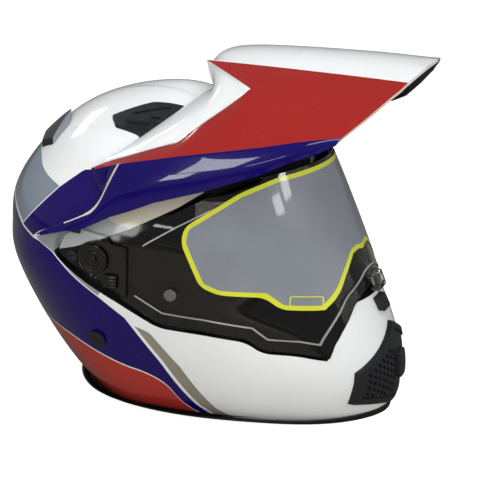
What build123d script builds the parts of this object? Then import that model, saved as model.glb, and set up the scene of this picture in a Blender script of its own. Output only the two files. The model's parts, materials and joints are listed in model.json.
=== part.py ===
from build123d import *
import os
from math import cos, pi, sin

# Dual sport helmet with a peak, a hinged visor and a fastened chin strap.
# Millimetres. The helmet stands on the rim of its neck opening: z is up from
# that base plane, the face looks along -Y and the wearer's left is +X. The
# origin lies on the base plane, below the middle of the head.

# Outer shell
shell_height = 250.0
shell_length = 331.0
shell_width = 257.0
shell_wall = 4.5
rim_lift = 2.6
slice_points = 12
seat_gap = 0.3
overrun = 30.0

# Recess in the side of the shell that takes the visor and its pivots
recess_depth = 6.5
port_corner = 9.0
recess_corner = 6.0

# Rubber parts
trim_wall = 1.7
trim_height = 6.0
seal_wall = 4.0
seal_depth = 8.0
seal_setback = 5.2

# Linings
liner_thickness = 29.0
chin_liner_thickness = 18.0
crown_pad_thickness = 9.0
cheek_pad_setback = 11.35
cheek_inner_half = 63.0
neck_roll_thickness = 20.0
neck_roll_setback = 6.6
pad_corner = 8.0

# Visor
visor_wall = 2.2
visor_gap = 0.4
film_wall = 0.4
film_seat = 0.05
film_corner = 5.0
visor_corner = 4.0
tab_width = 24.0
tab_height = 11.0
tab_reach = 5.0
tab_lift = 102.0
fog_pin_radius = 4.6
fog_pin_reach = 1.4
fog_pin_ahead = -49.0
fog_pin_lift = 113.0
fog_pin_shaft_radius = 2.2
fog_pin_shaft_length = 3.3

# Visor pivots
pivot_ahead = 12.0
pivot_lift = 134.0
ear_radius = 14.0
ear_outer_half = 125.1
hub_radius = 7.0
hub_clearance = 0.35
cap_radius = 11.5
cap_wall = 1.7
cap_dish = 0.7
cap_dish_radius = 6.4
plate_corner = 4.0
plate_setback = 2.2
side_screw_radius = 4.4
side_screw_ahead = 31.0
side_screw_lift = 133.0
side_screw_head = 2.2
screw_socket_radius = 1.9
screw_socket_depth = 1.2

# Visor release levers
release_length = 11.5
release_height = 10.5
release_wall = 1.9
release_ahead = -7.5
release_lift = 113.2
release_corner = 1.0
release_teeth = 4
release_tooth = 0.6

# Peak
peak_wall = 3.0
peak_boss_length = 12.0
peak_boss_ahead = 24.0
peak_boss_lift = 152.5
peak_boss_height = 6.0
peak_boss_inner_half = 100.0
peak_boss_outer_half = 125.0

# Vents
vent_wall = 3.0
top_vent_corner = 2.0
vent_slider_width = 4.0
vent_slider_length = 20.0
vent_slider_height = 2.4
vent_slider_across = -66.0
vent_slider_ahead = 4.0
chin_vent_wall = 4.2
chin_vent_border = 5.0
chin_mesh_wall = 1.4
chin_mesh_slot = 2.6
chin_mesh_pitch = 6.0
chin_slot_length = 20.0
chin_slot_lean = 14.0
chin_slot_columns = 4
chin_slider_width = 15.0
chin_slider_height = 22.0
chin_slider_wall = 3.6
chin_slider_lift = 30.0
chin_slider_corner = 3.0

# Catch under the visor's tab
catch_width = 18.0
catch_height = 10.0
catch_drop = 7.0
catch_wall = 4.6

# Chin strap
strap_width = 24.0
strap_wall = 2.4
strap_ahead = 12.0
plug_ahead = 12.0
plug_lift = 67.0
plug_radius = 7.5
plug_head = 2.0
plug_shaft_radius = 4.0
plug_shaft_outer_half = 119.8
strap_anchor_half = 105.5
strap_bend = 11.0
strap_top = 77.0
strap_knee_lift = 55.0
strap_shoulder_half = 88.0
strap_shoulder_lift = 37.0
strap_throat_half = 62.0
strap_throat_lift = 31.0
strap_end_lift = 29.0
right_strap_end = 3.0
ring_wire_radius = 1.6
ring_width = 32.0
ring_near_bend = 3.0
ring_far_bend = 9.0
ring_reach = 20.0
ring_gap = 1.0
loop_clearance = 0.5
left_strap_end = 30.0

half_width = shell_width / 2
ear_inner_half = ear_outer_half - visor_wall
plate_half = ear_inner_half - visor_gap

# Each row is one level of the outer shell, a front and a back half ellipse:
# height, front, back, half width and place of the widest point.
shell_rows_shares = [
    (0.00, -0.574, 0.187, 0.654, -0.048),
    (0.10, -0.592, 0.242, 0.809, -0.039),
    (0.25, -0.577, 0.323, 0.926, -0.012),
    (0.43, -0.508, 0.396, 1.000, 0.021),
    (0.53, -0.465, 0.408, 0.992, 0.024),
    (0.624, -0.426, 0.405, 0.961, 0.021),
    (0.72, -0.384, 0.372, 0.872, 0.012),
    (0.816, -0.317, 0.314, 0.724, -0.003),
    (0.904, -0.221, 0.236, 0.490, -0.012),
    (0.964, -0.125, 0.136, 0.280, -0.015),
    (0.992, -0.064, 0.046, 0.120, -0.016),
]
crown_ahead_share = -0.016
visor_rows_shares = [
    (0.20, -0.604, 0.36, 0.930, -0.009),
    (0.34, -0.555, 0.37, 0.966, 0.009),
    (0.44, -0.520, 0.38, 0.968, 0.024),
    (0.54, -0.485, 0.38, 0.968, 0.024),
    (0.64, -0.4495, 0.38, 0.944, 0.018),
    (0.74, -0.4145, 0.37, 0.880, 0.012),
    (0.84, -0.3795, 0.35, 0.780, 0.006),
]
head_rows_shares = [
    (0.00, -0.260, 0.235, 0.600, -0.010),
    (0.30, -0.290, 0.285, 0.640, -0.005),
    (0.55, -0.300, 0.295, 0.655, 0.000),
    (0.74, -0.270, 0.265, 0.560, 0.000),
    (0.88, -0.190, 0.190, 0.400, 0.000),
    (0.96, -0.105, 0.105, 0.220, 0.000),
    (0.99, -0.050, 0.050, 0.105, 0.000),
]

# Side views of edges: place along the helmet and height, as shares of the
# length and the height of the shell.
port_shares = [
    (-0.725, 0.760), (-0.302, 0.712), (-0.200, 0.672), (-0.175, 0.600),
    (-0.193, 0.472), (-0.302, 0.416), (-0.520, 0.388), (-0.725, 0.392),
]
recess_shares = [
    (0.151, 0.532), (0.085, 0.484), (0.018, 0.440), (-0.021, 0.416), (-0.121, 0.344),
    (-0.218, 0.332), (-0.314, 0.312), (-0.347, 0.276), (-0.417, 0.264), (-0.483, 0.236),
    (-0.725, 0.208), (-0.725, 0.600), (-0.242, 0.640), (-0.190, 0.760), (-0.030, 0.760),
    (0.024, 0.700), (0.136, 0.600),
]
visor_shares = [
    (-0.024, 0.588), (-0.027, 0.420), (-0.121, 0.354), (-0.218, 0.342), (-0.314, 0.322),
    (-0.347, 0.286), (-0.417, 0.274), (-0.492, 0.244), (-0.725, 0.232), (-0.725, 0.824),
    (-0.405, 0.816), (-0.284, 0.788), (-0.196, 0.736), (-0.133, 0.688), (-0.073, 0.636),
]
film_shares = [
    (-0.725, 0.790), (-0.410, 0.790), (-0.302, 0.770), (-0.221, 0.710), (-0.172, 0.668),
    (-0.168, 0.610), (-0.190, 0.544), (-0.208, 0.492), (-0.248, 0.464), (-0.347, 0.452),
    (-0.393, 0.416), (-0.456, 0.400), (-0.470, 0.430), (-0.483, 0.520), (-0.725, 0.520),
]
plate_shares = [
    (0.139, 0.532), (0.085, 0.497), (0.018, 0.453), (-0.015, 0.437), (-0.015, 0.572),
    (0.012, 0.608), (0.090, 0.618), (0.121, 0.588),
]
liner_shares = [
    (-0.725, 0.760), (-0.302, 0.712), (-0.200, 0.672), (-0.175, 0.600), (-0.150, 0.440),
    (-0.105, 0.330), (0.125, 0.325), (0.200, 0.240), (0.450, 0.160), (0.450, 1.100),
    (-0.725, 1.100),
]
chin_liner_shares = [
    (-0.725, 0.060), (-0.725, 0.360), (-0.302, 0.380), (-0.230, 0.330), (-0.200, 0.060),
]
cheek_shares = [
    (-0.188, 0.080), (-0.188, 0.405), (-0.112, 0.312), (-0.008, 0.312), (-0.008, 0.080),
]
neck_roll_shares = [
    (0.130, 0.020), (0.130, 0.095), (0.400, 0.140), (0.400, 0.020),
]

ear_shares = [(-0.045, 0.586), (0.036, 0.598), (0.036, 0.474), (-0.045, 0.424)]
crown_pad_shares = [
    (-0.600, 0.700), (-0.300, 0.690), (-0.180, 0.640), (-0.150, 0.440), (0.450, 0.300),
    (0.450, 1.100), (-0.600, 1.100),
]

# Front view of the chin vent and of the notch above it in the visor, as
# shares of the half width and the height of the shell.
chin_vent_shares = [
    (0.0, 0.300), (0.395, 0.186), (0.395, 0.078), (0.060, 0.036), (0.0, 0.036),
]
visor_notch_shares = [
    (0.0, 0.384), (0.262, 0.380), (0.440, 0.250), (0.470, 0.160), (0.0, 0.160),
]

# Plan views of the crown's vents, as shares of the half width and the length.
top_vent_shares = [
    (-0.33, -0.068), (-0.465, 0.104), (-0.515, 0.092), (-0.610, 0.006), (-0.48, -0.060),
]
rear_vent_shares = [
    (-0.23, 0.245), (-0.30, 0.302), (-0.43, 0.285), (-0.50, 0.240), (-0.38, 0.222),
]

# Cross sections of the peak: place along the helmet, then the middle of the
# top band, its edge, the middle of the side face, the crease above the flange
# and the flange's lower edge, each as across and up shares.
peak_front_shares = [
    (-0.650, (0.0, 1.154), (-0.342, 1.108), (-0.545, 1.048), (-0.665, 1.000), (-0.690, 0.972)),
    (-0.453, (0.0, 1.152), (-0.327, 1.112), (-0.560, 1.052), (-0.778, 0.960), (-0.817, 0.916)),
    (-0.317, (0.0, 1.146), (-0.311, 1.120), (-0.584, 1.050), (-0.856, 0.926), (-0.918, 0.840)),
    (-0.181, (0.0, 1.136), (-0.288, 1.116), (-0.607, 1.028), (-0.903, 0.884), (-0.973, 0.772)),
]
peak_arm_shares = [
    (-0.181, (-0.288, 1.116), (-0.450, 1.084), (-0.607, 1.028), (-0.903, 0.884), (-0.973, 0.745)),
    (-0.127, (-0.233, 1.028), (-0.500, 1.010), (-0.735, 0.936), (-0.911, 0.868), (-0.981, 0.720)),
    (-0.072, (-0.436, 0.960), (-0.640, 0.948), (-0.790, 0.906), (-0.918, 0.852), (-0.988, 0.690)),
    (-0.012, (-0.623, 0.888), (-0.735, 0.884), (-0.825, 0.868), (-0.926, 0.834), (-0.992, 0.660)),
    (0.030, (-0.724, 0.852), (-0.785, 0.848), (-0.840, 0.838), (-0.926, 0.820), (-0.992, 0.630)),
    (0.085, (-0.800, 0.812), (-0.830, 0.808), (-0.855, 0.804), (-0.918, 0.784), (-0.988, 0.595)),
    (0.199, (-0.860, 0.730), (-0.875, 0.722), (-0.885, 0.712), (-0.905, 0.672), (-0.934, 0.535)),
]
peak_tail_shares = [
    (-0.181, (0.0, 1.136), (-0.288, 1.116), (-0.311, 1.048)),
    (-0.121, (0.0, 1.124), (-0.272, 1.104), (-0.296, 1.020)),
    (-0.088, (0.0, 1.028), (-0.240, 1.020), (-0.250, 1.004)),
]
peak_side_shares = [
    (-0.6375, 1.160), (-0.6375, 1.150), (-0.601, 1.106), (-0.511, 0.975), (-0.468, 0.920),
    (-0.400, 0.880), (-0.331, 0.845), (-0.221, 0.790), (-0.130, 0.748), (-0.033, 0.698),
    (0.060, 0.628), (0.130, 0.592), (0.199, 0.568), (0.030, 0.686), (-0.010, 0.834),
    (0.078, 0.800), (0.026, 0.862), (-0.072, 0.966), (-0.092, 1.160),
]
peak_centre_lift_share = 0.76
fog_pin_seat_share = 0.931


def side_points(shares):
    return [(along * shell_length, up * shell_height) for along, up in shares]


def front_points(shares):
    return [(across * half_width, up * shell_height) for across, up in shares]


def plan_points(shares):
    return [(across * half_width, along * shell_length) for across, along in shares]


def outline_points(front, back, half, middle):
    points = []
    for step in range(slice_points):
        angle = 2 * pi * step / slice_points + pi / 2
        reach = back - middle if sin(angle) > 0 else middle - front
        points.append((half * cos(angle), middle + reach * sin(angle)))
    return points


def slice_face(row, grow, height):
    level, front, back, half, middle = row
    with BuildSketch(Plane.XY.offset(level * height)) as outline:
        with BuildLine():
            Spline(
                outline_points(
                    front * shell_length - grow,
                    back * shell_length + grow,
                    half * half_width + grow,
                    middle * shell_length,
                ),
                periodic=True,
            )
        make_face()
    return outline.sketch.face()


def domed_form(rows, grow, height):
    slices = [slice_face(row, grow, height) for row in rows]
    with BuildPart() as form:
        loft(sections=[*slices, Vertex(0, crown_ahead_share * shell_length, height)])
    return form.part


def shell_form(grow):
    return domed_form(shell_rows_shares, grow, shell_height + grow)


def visor_form(grow):
    slices = [slice_face(row, grow, shell_height) for row in visor_rows_shares]
    with BuildPart() as form:
        loft(sections=slices)
    return form.part


def side_prism(shares, corner=0.0, grow=0.0):
    with BuildPart() as prism:
        with BuildSketch(Plane.YZ) as outline:
            with BuildLine():
                Polyline(side_points(shares), close=True)
            make_face()
            if corner > 0:
                fillet(outline.vertices(), corner)
            if grow != 0:
                offset(amount=grow, kind=Kind.INTERSECTION)
        extrude(amount=shell_width, both=True)
    return prism.part


def front_prism(shares, grow=0.0):
    with BuildPart() as prism:
        with BuildSketch(Plane.XZ):
            with BuildLine():
                Polyline(front_points(shares), close=True)
            make_face()
            mirror(about=Plane.YZ)
            if grow != 0:
                offset(amount=grow, kind=Kind.INTERSECTION)
        extrude(amount=shell_length)
    return prism.part


def plan_prism(shares):
    with BuildPart() as prism:
        with BuildSketch(Plane.XY.offset(shell_height / 2)) as outline:
            with BuildLine():
                Polyline(plan_points(shares), close=True)
            make_face()
            fillet(outline.vertices(), top_vent_corner)
        extrude(amount=shell_height + overrun)
    return prism.part


def slab(low, high):
    with BuildPart() as block:
        with BuildSketch(Plane.XY.offset(low)):
            Rectangle(2 * shell_length, 2 * shell_length)
        extrude(amount=high - low)
    return block.part


def side_rod(radius, along, up, inner, outer):
    with BuildPart() as rod:
        with BuildSketch(Plane.YZ.offset(-inner)):
            with Locations((along, up)):
                Circle(radius)
        extrude(amount=inner - outer)
    return rod.part


def write(part, name):
    part.label = name
    export_step(part, f"parts/{name}.step")


def write_pair(part, name):
    write(part, f"{name}_right")
    with BuildPart() as twin:
        mirror(part, about=Plane.YZ)
    write(twin.part, f"{name}_left")


os.makedirs("parts", exist_ok=True)

# Outer shell: one wall, stepped inwards where the visor lies
port = side_prism(port_shares, port_corner)
recess = side_prism(recess_shares, recess_corner)
recess_back = side_prism(recess_shares, recess_corner, shell_wall)
recess_liner = side_prism(recess_shares, recess_corner, shell_wall + seat_gap)
shell_outside = shell_form(0)
chin_vent_block = front_prism(chin_vent_shares)
chin_vent_hole = front_prism(chin_vent_shares, -chin_vent_border)


def stepped_form(grow, step_block, step_grow):
    """The shell's form with the visor's recess pressed into it."""
    with BuildPart() as step:
        add(step_block)
        add(shell_form(step_grow), mode=Mode.SUBTRACT)
    with BuildPart() as form:
        add(shell_form(grow))
        add(step.part, mode=Mode.SUBTRACT)
    return form.part


with BuildPart() as outer_shell:
    add(stepped_form(0, recess, -recess_depth))
    add(stepped_form(-shell_wall, recess_back, -recess_depth - shell_wall), mode=Mode.SUBTRACT)
    add(port, mode=Mode.SUBTRACT)
    add(chin_vent_hole, mode=Mode.SUBTRACT)
    add(slab(-overrun, rim_lift), mode=Mode.SUBTRACT)
    with BuildSketch(Plane.YZ):
        with Locations((plug_ahead, plug_lift)):
            Circle(plug_shaft_radius + seat_gap)
    extrude(amount=shell_width, both=True, mode=Mode.SUBTRACT)
write(outer_shell.part, "outer_shell")

# Rubber trim, folded round the rim that the helmet stands on
with BuildPart() as base_trim:
    add(shell_form(seat_gap + trim_wall))
    add(shell_form(-shell_wall - seat_gap - trim_wall), mode=Mode.SUBTRACT)
    add(slab(0, trim_height), mode=Mode.INTERSECT)
    with BuildPart(mode=Mode.PRIVATE) as groove:
        add(shell_form(seat_gap))
        add(shell_form(-shell_wall - seat_gap), mode=Mode.SUBTRACT)
        add(slab(rim_lift - seat_gap, trim_height + overrun), mode=Mode.INTERSECT)
    add(groove.part, mode=Mode.SUBTRACT)
write(base_trim.part, "base_trim")

# Soft seal round the edge of the eye port
with BuildPart() as eye_port_seal:
    add(shell_form(-seal_setback))
    add(shell_form(-seal_setback - seal_depth), mode=Mode.SUBTRACT)
    add(side_prism(port_shares, port_corner, -seat_gap), mode=Mode.INTERSECT)
    add(side_prism(port_shares, port_corner, -seat_gap - seal_wall), mode=Mode.SUBTRACT)
write(eye_port_seal.part, "eye_port_seal")


# Foam linings
def head_form(grow):
    return domed_form(head_rows_shares, grow, head_height + grow)


liner_setback = shell_wall + seat_gap
head_height = shell_height - liner_setback - liner_thickness
liner_outside = stepped_form(-liner_setback, recess_liner, -recess_depth - liner_setback)
with BuildPart() as impact_liner:
    add(liner_outside)
    add(side_prism(liner_shares), mode=Mode.INTERSECT)
    add(head_form(0), mode=Mode.SUBTRACT)
write(impact_liner.part, "impact_liner")

with BuildPart() as chin_liner:
    add(liner_outside)
    add(side_prism(chin_liner_shares), mode=Mode.INTERSECT)
    add(shell_form(-liner_setback - chin_liner_thickness), mode=Mode.SUBTRACT)
    add(chin_vent_hole, mode=Mode.SUBTRACT)
write(chin_liner.part, "chin_liner")

# Comfort pads
with BuildPart() as crown_pad:
    add(head_form(-seat_gap))
    add(head_form(-seat_gap - crown_pad_thickness), mode=Mode.SUBTRACT)
    add(side_prism(crown_pad_shares), mode=Mode.INTERSECT)
write(crown_pad.part, "crown_pad")

with BuildPart() as cheek_pad:
    with BuildSketch(Plane.YZ.offset(-cheek_inner_half)) as cheek_outline:
        with BuildLine():
            Polyline(side_points(cheek_shares), close=True)
        make_face()
        fillet(cheek_outline.vertices(), pad_corner)
    extrude(amount=-half_width)
    add(shell_form(-cheek_pad_setback), mode=Mode.INTERSECT)
write_pair(cheek_pad.part, "cheek_pad")

with BuildPart() as neck_roll:
    add(shell_form(-neck_roll_setback))
    add(shell_form(-neck_roll_setback - neck_roll_thickness), mode=Mode.SUBTRACT)
    add(side_prism(neck_roll_shares), mode=Mode.INTERSECT)
write(neck_roll.part, "neck_roll")


# Chin vent: a frame on the shell, a slotted screen in it and a slider over it
def skin(outer_grow, inner_grow):
    with BuildPart() as layer:
        add(shell_form(outer_grow))
        add(shell_form(inner_grow), mode=Mode.SUBTRACT)
    return layer.part


with BuildPart() as chin_vent_frame:
    add(skin(chin_vent_wall, seat_gap))
    add(chin_vent_block, mode=Mode.INTERSECT)
    add(chin_vent_hole, mode=Mode.SUBTRACT)
write(chin_vent_frame.part, "chin_vent_frame")

chin_screen_outline = front_prism(chin_vent_shares, -chin_vent_border - seat_gap)
with BuildPart() as chin_vent_screen:
    add(skin(seat_gap + chin_mesh_wall, seat_gap))
    add(chin_screen_outline, mode=Mode.INTERSECT)
    with BuildSketch(Plane.XZ):
        for side in (-1, 1):
            for column in range(chin_slot_columns):
                across = chin_slider_width / 2 + chin_mesh_pitch * (column + 1 / 2)
                with Locations((side * across, chin_slider_lift + chin_slot_length / 2)):
                    SlotOverall(chin_slot_length, chin_mesh_slot, rotation=90 + side * chin_slot_lean)
    extrude(amount=shell_length, mode=Mode.SUBTRACT)
write(chin_vent_screen.part, "chin_vent_screen")

slider_seat = seat_gap + chin_mesh_wall + seat_gap
with BuildPart() as chin_vent_slider:
    add(skin(slider_seat + chin_slider_wall, slider_seat))
    with BuildPart(mode=Mode.PRIVATE) as slider_block:
        with BuildSketch(Plane.XZ):
            with Locations((0, chin_slider_lift + chin_slider_height / 2)):
                RectangleRounded(chin_slider_width, chin_slider_height, chin_slider_corner)
        extrude(amount=shell_length)
    add(slider_block.part, mode=Mode.INTERSECT)
write(chin_vent_slider.part, "chin_vent_slider")

# Catch for the visor's tab, on the chin bar below it
with BuildPart() as visor_catch:
    add(skin(catch_wall, seat_gap))
    with BuildPart(mode=Mode.PRIVATE) as catch_block:
        with BuildSketch(Plane.XZ):
            with Locations((0, tab_lift - catch_drop - catch_height / 2)):
                Rectangle(catch_width, catch_height)
        extrude(amount=shell_length)
    add(catch_block.part, mode=Mode.INTERSECT)
write(visor_catch.part, "visor_catch")

# Crown vents with their sliders, and the outlets behind them
with BuildPart() as top_vent:
    add(skin(seat_gap + vent_wall, seat_gap))
    add(plan_prism(top_vent_shares), mode=Mode.INTERSECT)
write_pair(top_vent.part, "top_vent")

vent_slider_seat = seat_gap + vent_wall + seat_gap
with BuildPart() as top_vent_slider:
    add(skin(vent_slider_seat + vent_slider_height, vent_slider_seat))
    with BuildPart(mode=Mode.PRIVATE) as slider_bar:
        with BuildSketch(Plane.XY):
            with Locations((vent_slider_across, vent_slider_ahead)):
                SlotOverall(vent_slider_length, vent_slider_width, rotation=90)
        extrude(amount=shell_height + overrun)
    add(slider_bar.part, mode=Mode.INTERSECT)
write_pair(top_vent_slider.part, "top_vent_slider")

with BuildPart() as rear_vent:
    add(skin(seat_gap + vent_wall, seat_gap))
    add(plan_prism(rear_vent_shares), mode=Mode.INTERSECT)
write_pair(rear_vent.part, "rear_vent")

# Pivot plates in the recess, with the flat face that the visor turns on
with BuildPart() as pivot_plate:
    with BuildSketch(Plane.YZ) as plate_outline:
        with BuildLine():
            Polyline(side_points(plate_shares), close=True)
        make_face()
        fillet(plate_outline.vertices(), plate_corner)
    extrude(amount=-plate_half)
    add(shell_form(-plate_setback), mode=Mode.INTERSECT)
    add(shell_form(-recess_depth + seat_gap), mode=Mode.SUBTRACT)
write_pair(pivot_plate.part, "pivot_plate")

cap_seat = ear_outer_half + visor_gap
with BuildPart() as pivot_cap:
    add(side_rod(hub_radius, pivot_ahead, pivot_lift, plate_half, cap_seat))
    add(side_rod(cap_radius, pivot_ahead, pivot_lift, cap_seat, cap_seat + cap_wall))
    dish_floor = cap_seat + cap_wall - cap_dish
    dish = side_rod(cap_dish_radius, pivot_ahead, pivot_lift, dish_floor, dish_floor + overrun)
    add(dish, mode=Mode.SUBTRACT)
write_pair(pivot_cap.part, "pivot_cap")

with BuildPart() as side_screw:
    screw_top = plate_half + side_screw_head
    add(side_rod(side_screw_radius, side_screw_ahead, side_screw_lift, plate_half, screw_top))
    with BuildSketch(Plane.YZ.offset(-screw_top)):
        with Locations((side_screw_ahead, side_screw_lift)):
            RegularPolygon(screw_socket_radius, 6)
    extrude(amount=screw_socket_depth, mode=Mode.SUBTRACT)
write_pair(side_screw.part, "side_screw")

# Release levers, sprung, drawn down to free the visor
with BuildPart() as release_lever:
    with BuildSketch(Plane.YZ.offset(-cap_seat)):
        with Locations((release_ahead + release_length / 2, release_lift + release_height / 2)):
            RectangleRounded(release_length, release_height, release_corner)
    extrude(amount=-release_wall)
    with BuildSketch(Plane.YZ.offset(-cap_seat - release_wall)):
        for tooth in range(release_teeth):
            up = release_lift + release_height * (tooth + 1 / 2) / release_teeth
            with Locations((release_ahead + release_length / 2, up)):
                Rectangle(release_length - 2 * release_corner, release_tooth)
    extrude(amount=-release_tooth)
write_pair(release_lever.part, "release_lever")

# Visor with its ears, tab and pin holes
with BuildPart() as visor:
    add(visor_form(0))
    add(visor_form(-visor_wall), mode=Mode.SUBTRACT)
    add(side_prism(visor_shares, visor_corner), mode=Mode.INTERSECT)
    add(front_prism(visor_notch_shares), mode=Mode.SUBTRACT)
    for side in (-1, 1):
        with BuildSketch(Plane.YZ.offset(side * ear_inner_half)):
            with BuildLine():
                Polyline(side_points(ear_shares), close=True)
            make_face()
            with Locations((pivot_ahead, pivot_lift)):
                Circle(ear_radius)
        extrude(amount=side * visor_wall)
    with BuildPart(mode=Mode.PRIVATE) as tab:
        add(visor_form(tab_reach))
        add(visor_form(-visor_wall / 2), mode=Mode.SUBTRACT)
        with BuildPart(mode=Mode.PRIVATE) as tab_block:
            with BuildSketch(Plane.XZ):
                with Locations((0, tab_lift + tab_height / 2)):
                    Rectangle(tab_width, tab_height)
            extrude(amount=shell_length)
        add(tab_block.part, mode=Mode.INTERSECT)
    add(tab.part)
    with BuildSketch(Plane.YZ):
        with Locations((pivot_ahead, pivot_lift)):
            Circle(hub_radius + hub_clearance)
        with Locations((fog_pin_ahead, fog_pin_lift)):
            Circle(fog_pin_shaft_radius + film_seat)
    extrude(amount=shell_width, both=True, mode=Mode.SUBTRACT)
write(visor.part, "visor")

with BuildPart() as visor_film:
    add(visor_form(film_seat + film_wall))
    add(visor_form(film_seat), mode=Mode.SUBTRACT)
    add(side_prism(film_shares, film_corner), mode=Mode.INTERSECT)
write(visor_film.part, "visor_film")

fog_pin_outer_half = fog_pin_seat_share * half_width
fog_pin_inner_half = fog_pin_outer_half - fog_pin_shaft_length
with BuildPart() as fog_pin:
    add(visor_form(film_seat + fog_pin_reach))
    add(visor_form(film_seat), mode=Mode.SUBTRACT)
    add(
        side_rod(fog_pin_radius, fog_pin_ahead, fog_pin_lift, cheek_inner_half, half_width + overrun),
        mode=Mode.INTERSECT,
    )
    add(side_rod(fog_pin_shaft_radius, fog_pin_ahead, fog_pin_lift, fog_pin_inner_half, fog_pin_outer_half))
write_pair(fog_pin.part, "fog_pin")


# Peak: an arched hood over the visor, two side arms and a short tail that
# comes down behind the top band
def towards_middle(point):
    across, up = point
    centre = peak_centre_lift_share * shell_height
    span = (across**2 + (up - centre) ** 2) ** (1 / 2)
    return (across - peak_wall * across / span, up - peak_wall * (up - centre) / span)


def band_section(along_share, shares):
    middle, *sides = front_points(shares)
    outer = [*reversed(sides), middle, *[(-across, up) for across, up in sides]]
    inner = [towards_middle(point) for point in reversed(outer)]
    with BuildSketch(Plane.XZ.offset(-along_share * shell_length)) as section:
        with BuildLine():
            Polyline([*outer, *inner], close=True)
        make_face()
    return section.sketch.face()


def arm_section(along_share, shares):
    outer = front_points(shares)
    inner = [towards_middle(point) for point in reversed(outer)]
    with BuildSketch(Plane.XZ.offset(-along_share * shell_length)) as section:
        with BuildLine():
            Polyline([*outer, *inner], close=True)
        make_face()
    return section.sketch.face()


with BuildPart() as peak:
    loft(sections=[band_section(along, shares) for along, *shares in peak_front_shares])
    loft(sections=[band_section(along, shares) for along, *shares in peak_tail_shares])
    with BuildPart(mode=Mode.PRIVATE) as arm:
        loft(sections=[arm_section(along, shares) for along, *shares in peak_arm_shares])
    add(arm.part)
    mirror(arm.part, about=Plane.YZ)
    add(side_prism(peak_side_shares), mode=Mode.INTERSECT)
write(peak.part, "peak")

# Bosses that carry the peak's arms
with BuildPart() as peak_boss:
    with BuildSketch(Plane.YZ.offset(-peak_boss_inner_half)):
        with Locations((peak_boss_ahead + peak_boss_length / 2, peak_boss_lift + peak_boss_height / 2)):
            Rectangle(peak_boss_length, peak_boss_height)
    extrude(amount=peak_boss_inner_half - peak_boss_outer_half)
    add(shell_form(seat_gap), mode=Mode.SUBTRACT)
    add(peak.part, mode=Mode.SUBTRACT)
write_pair(peak_boss.part, "peak_boss")

# Chin strap: two webbings from the side plugs, one with its two rings
with BuildPart() as strap_plug:
    add(skin(seat_gap + plug_head, seat_gap))
    add(
        side_rod(plug_radius, plug_ahead, plug_lift, cheek_inner_half, half_width + overrun),
        mode=Mode.INTERSECT,
    )
    add(side_rod(plug_shaft_radius, plug_ahead, plug_lift, strap_anchor_half, plug_shaft_outer_half))
write_pair(strap_plug.part, "strap_plug")


strap_plane = Plane.XZ.offset(-strap_ahead - strap_width / 2)
ring_pitch = 2 * ring_wire_radius + ring_gap
loop_inner = ring_wire_radius + loop_clearance
loop_outer = loop_inner + strap_wall
loop_across = left_strap_end - loop_inner - strap_wall / 2


def strap_face(points, side):
    with BuildSketch(strap_plane) as webbing:
        with BuildLine() as route:
            FilletPolyline([(side * across, up) for across, up in points], radius=strap_bend)
        trace(route.line, line_width=strap_wall)
    return webbing


strap_route = [
    (strap_anchor_half - strap_wall / 2, strap_top),
    (strap_anchor_half - strap_wall / 2, strap_knee_lift),
    (strap_shoulder_half, strap_shoulder_lift),
    (strap_throat_half, strap_throat_lift),
]
for side, name, end in ((-1, "chin_strap_right", right_strap_end), (1, "chin_strap_left", left_strap_end)):
    with BuildPart() as strap:
        face = strap_face([*strap_route, (end, strap_end_lift)], side)
        extrude(face.sketch, amount=strap_width)
        if side > 0:
            with BuildSketch(strap_plane):
                with Locations((loop_across, strap_end_lift)):
                    SlotOverall(ring_pitch + 2 * loop_outer, 2 * loop_outer, rotation=90)
                    SlotOverall(ring_pitch + 2 * loop_inner, 2 * loop_inner, rotation=90, mode=Mode.SUBTRACT)
            extrude(amount=strap_width)
    write(strap.part, name)

for rank, name in ((-1, "d_ring_lower"), (1, "d_ring_upper")):
    level = strap_end_lift + rank * ring_pitch / 2
    ring_corners = [
        (loop_across, strap_ahead - ring_width / 2),
        (loop_across, strap_ahead + ring_width / 2),
        (loop_across - ring_reach, strap_ahead + ring_width / 2),
        (loop_across - ring_reach, strap_ahead - ring_width / 2),
    ]
    ring_bends = [ring_near_bend, ring_near_bend, ring_far_bend, ring_far_bend]
    with BuildPart() as d_ring:
        with BuildLine(Plane.XY.offset(level)) as ring_path:
            FilletPolyline(ring_corners, radius=ring_bends, close=True)
        ring_start = Plane(origin=(loop_across, strap_ahead, level), z_dir=(0, 1, 0))
        with BuildSketch(ring_start):
            Circle(ring_wire_radius)
        sweep(path=ring_path.line)
    write(d_ring.part, name)
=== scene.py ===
# %% [markdown]
# # A dual sport helmet
# A full-face helmet with a long peak, a hinged smoked visor with a printed film on it,
# sliding vents and a chin strap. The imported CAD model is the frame: every piece made here
# lies in the place of the node that it stands for. Lengths are in metres, the face looks
# along -Y, and the wearer's left is +X.

import json
from math import cos, pi, radians, sin

import bmesh
import bpy
import numpy as np
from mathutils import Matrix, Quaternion, Vector

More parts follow.
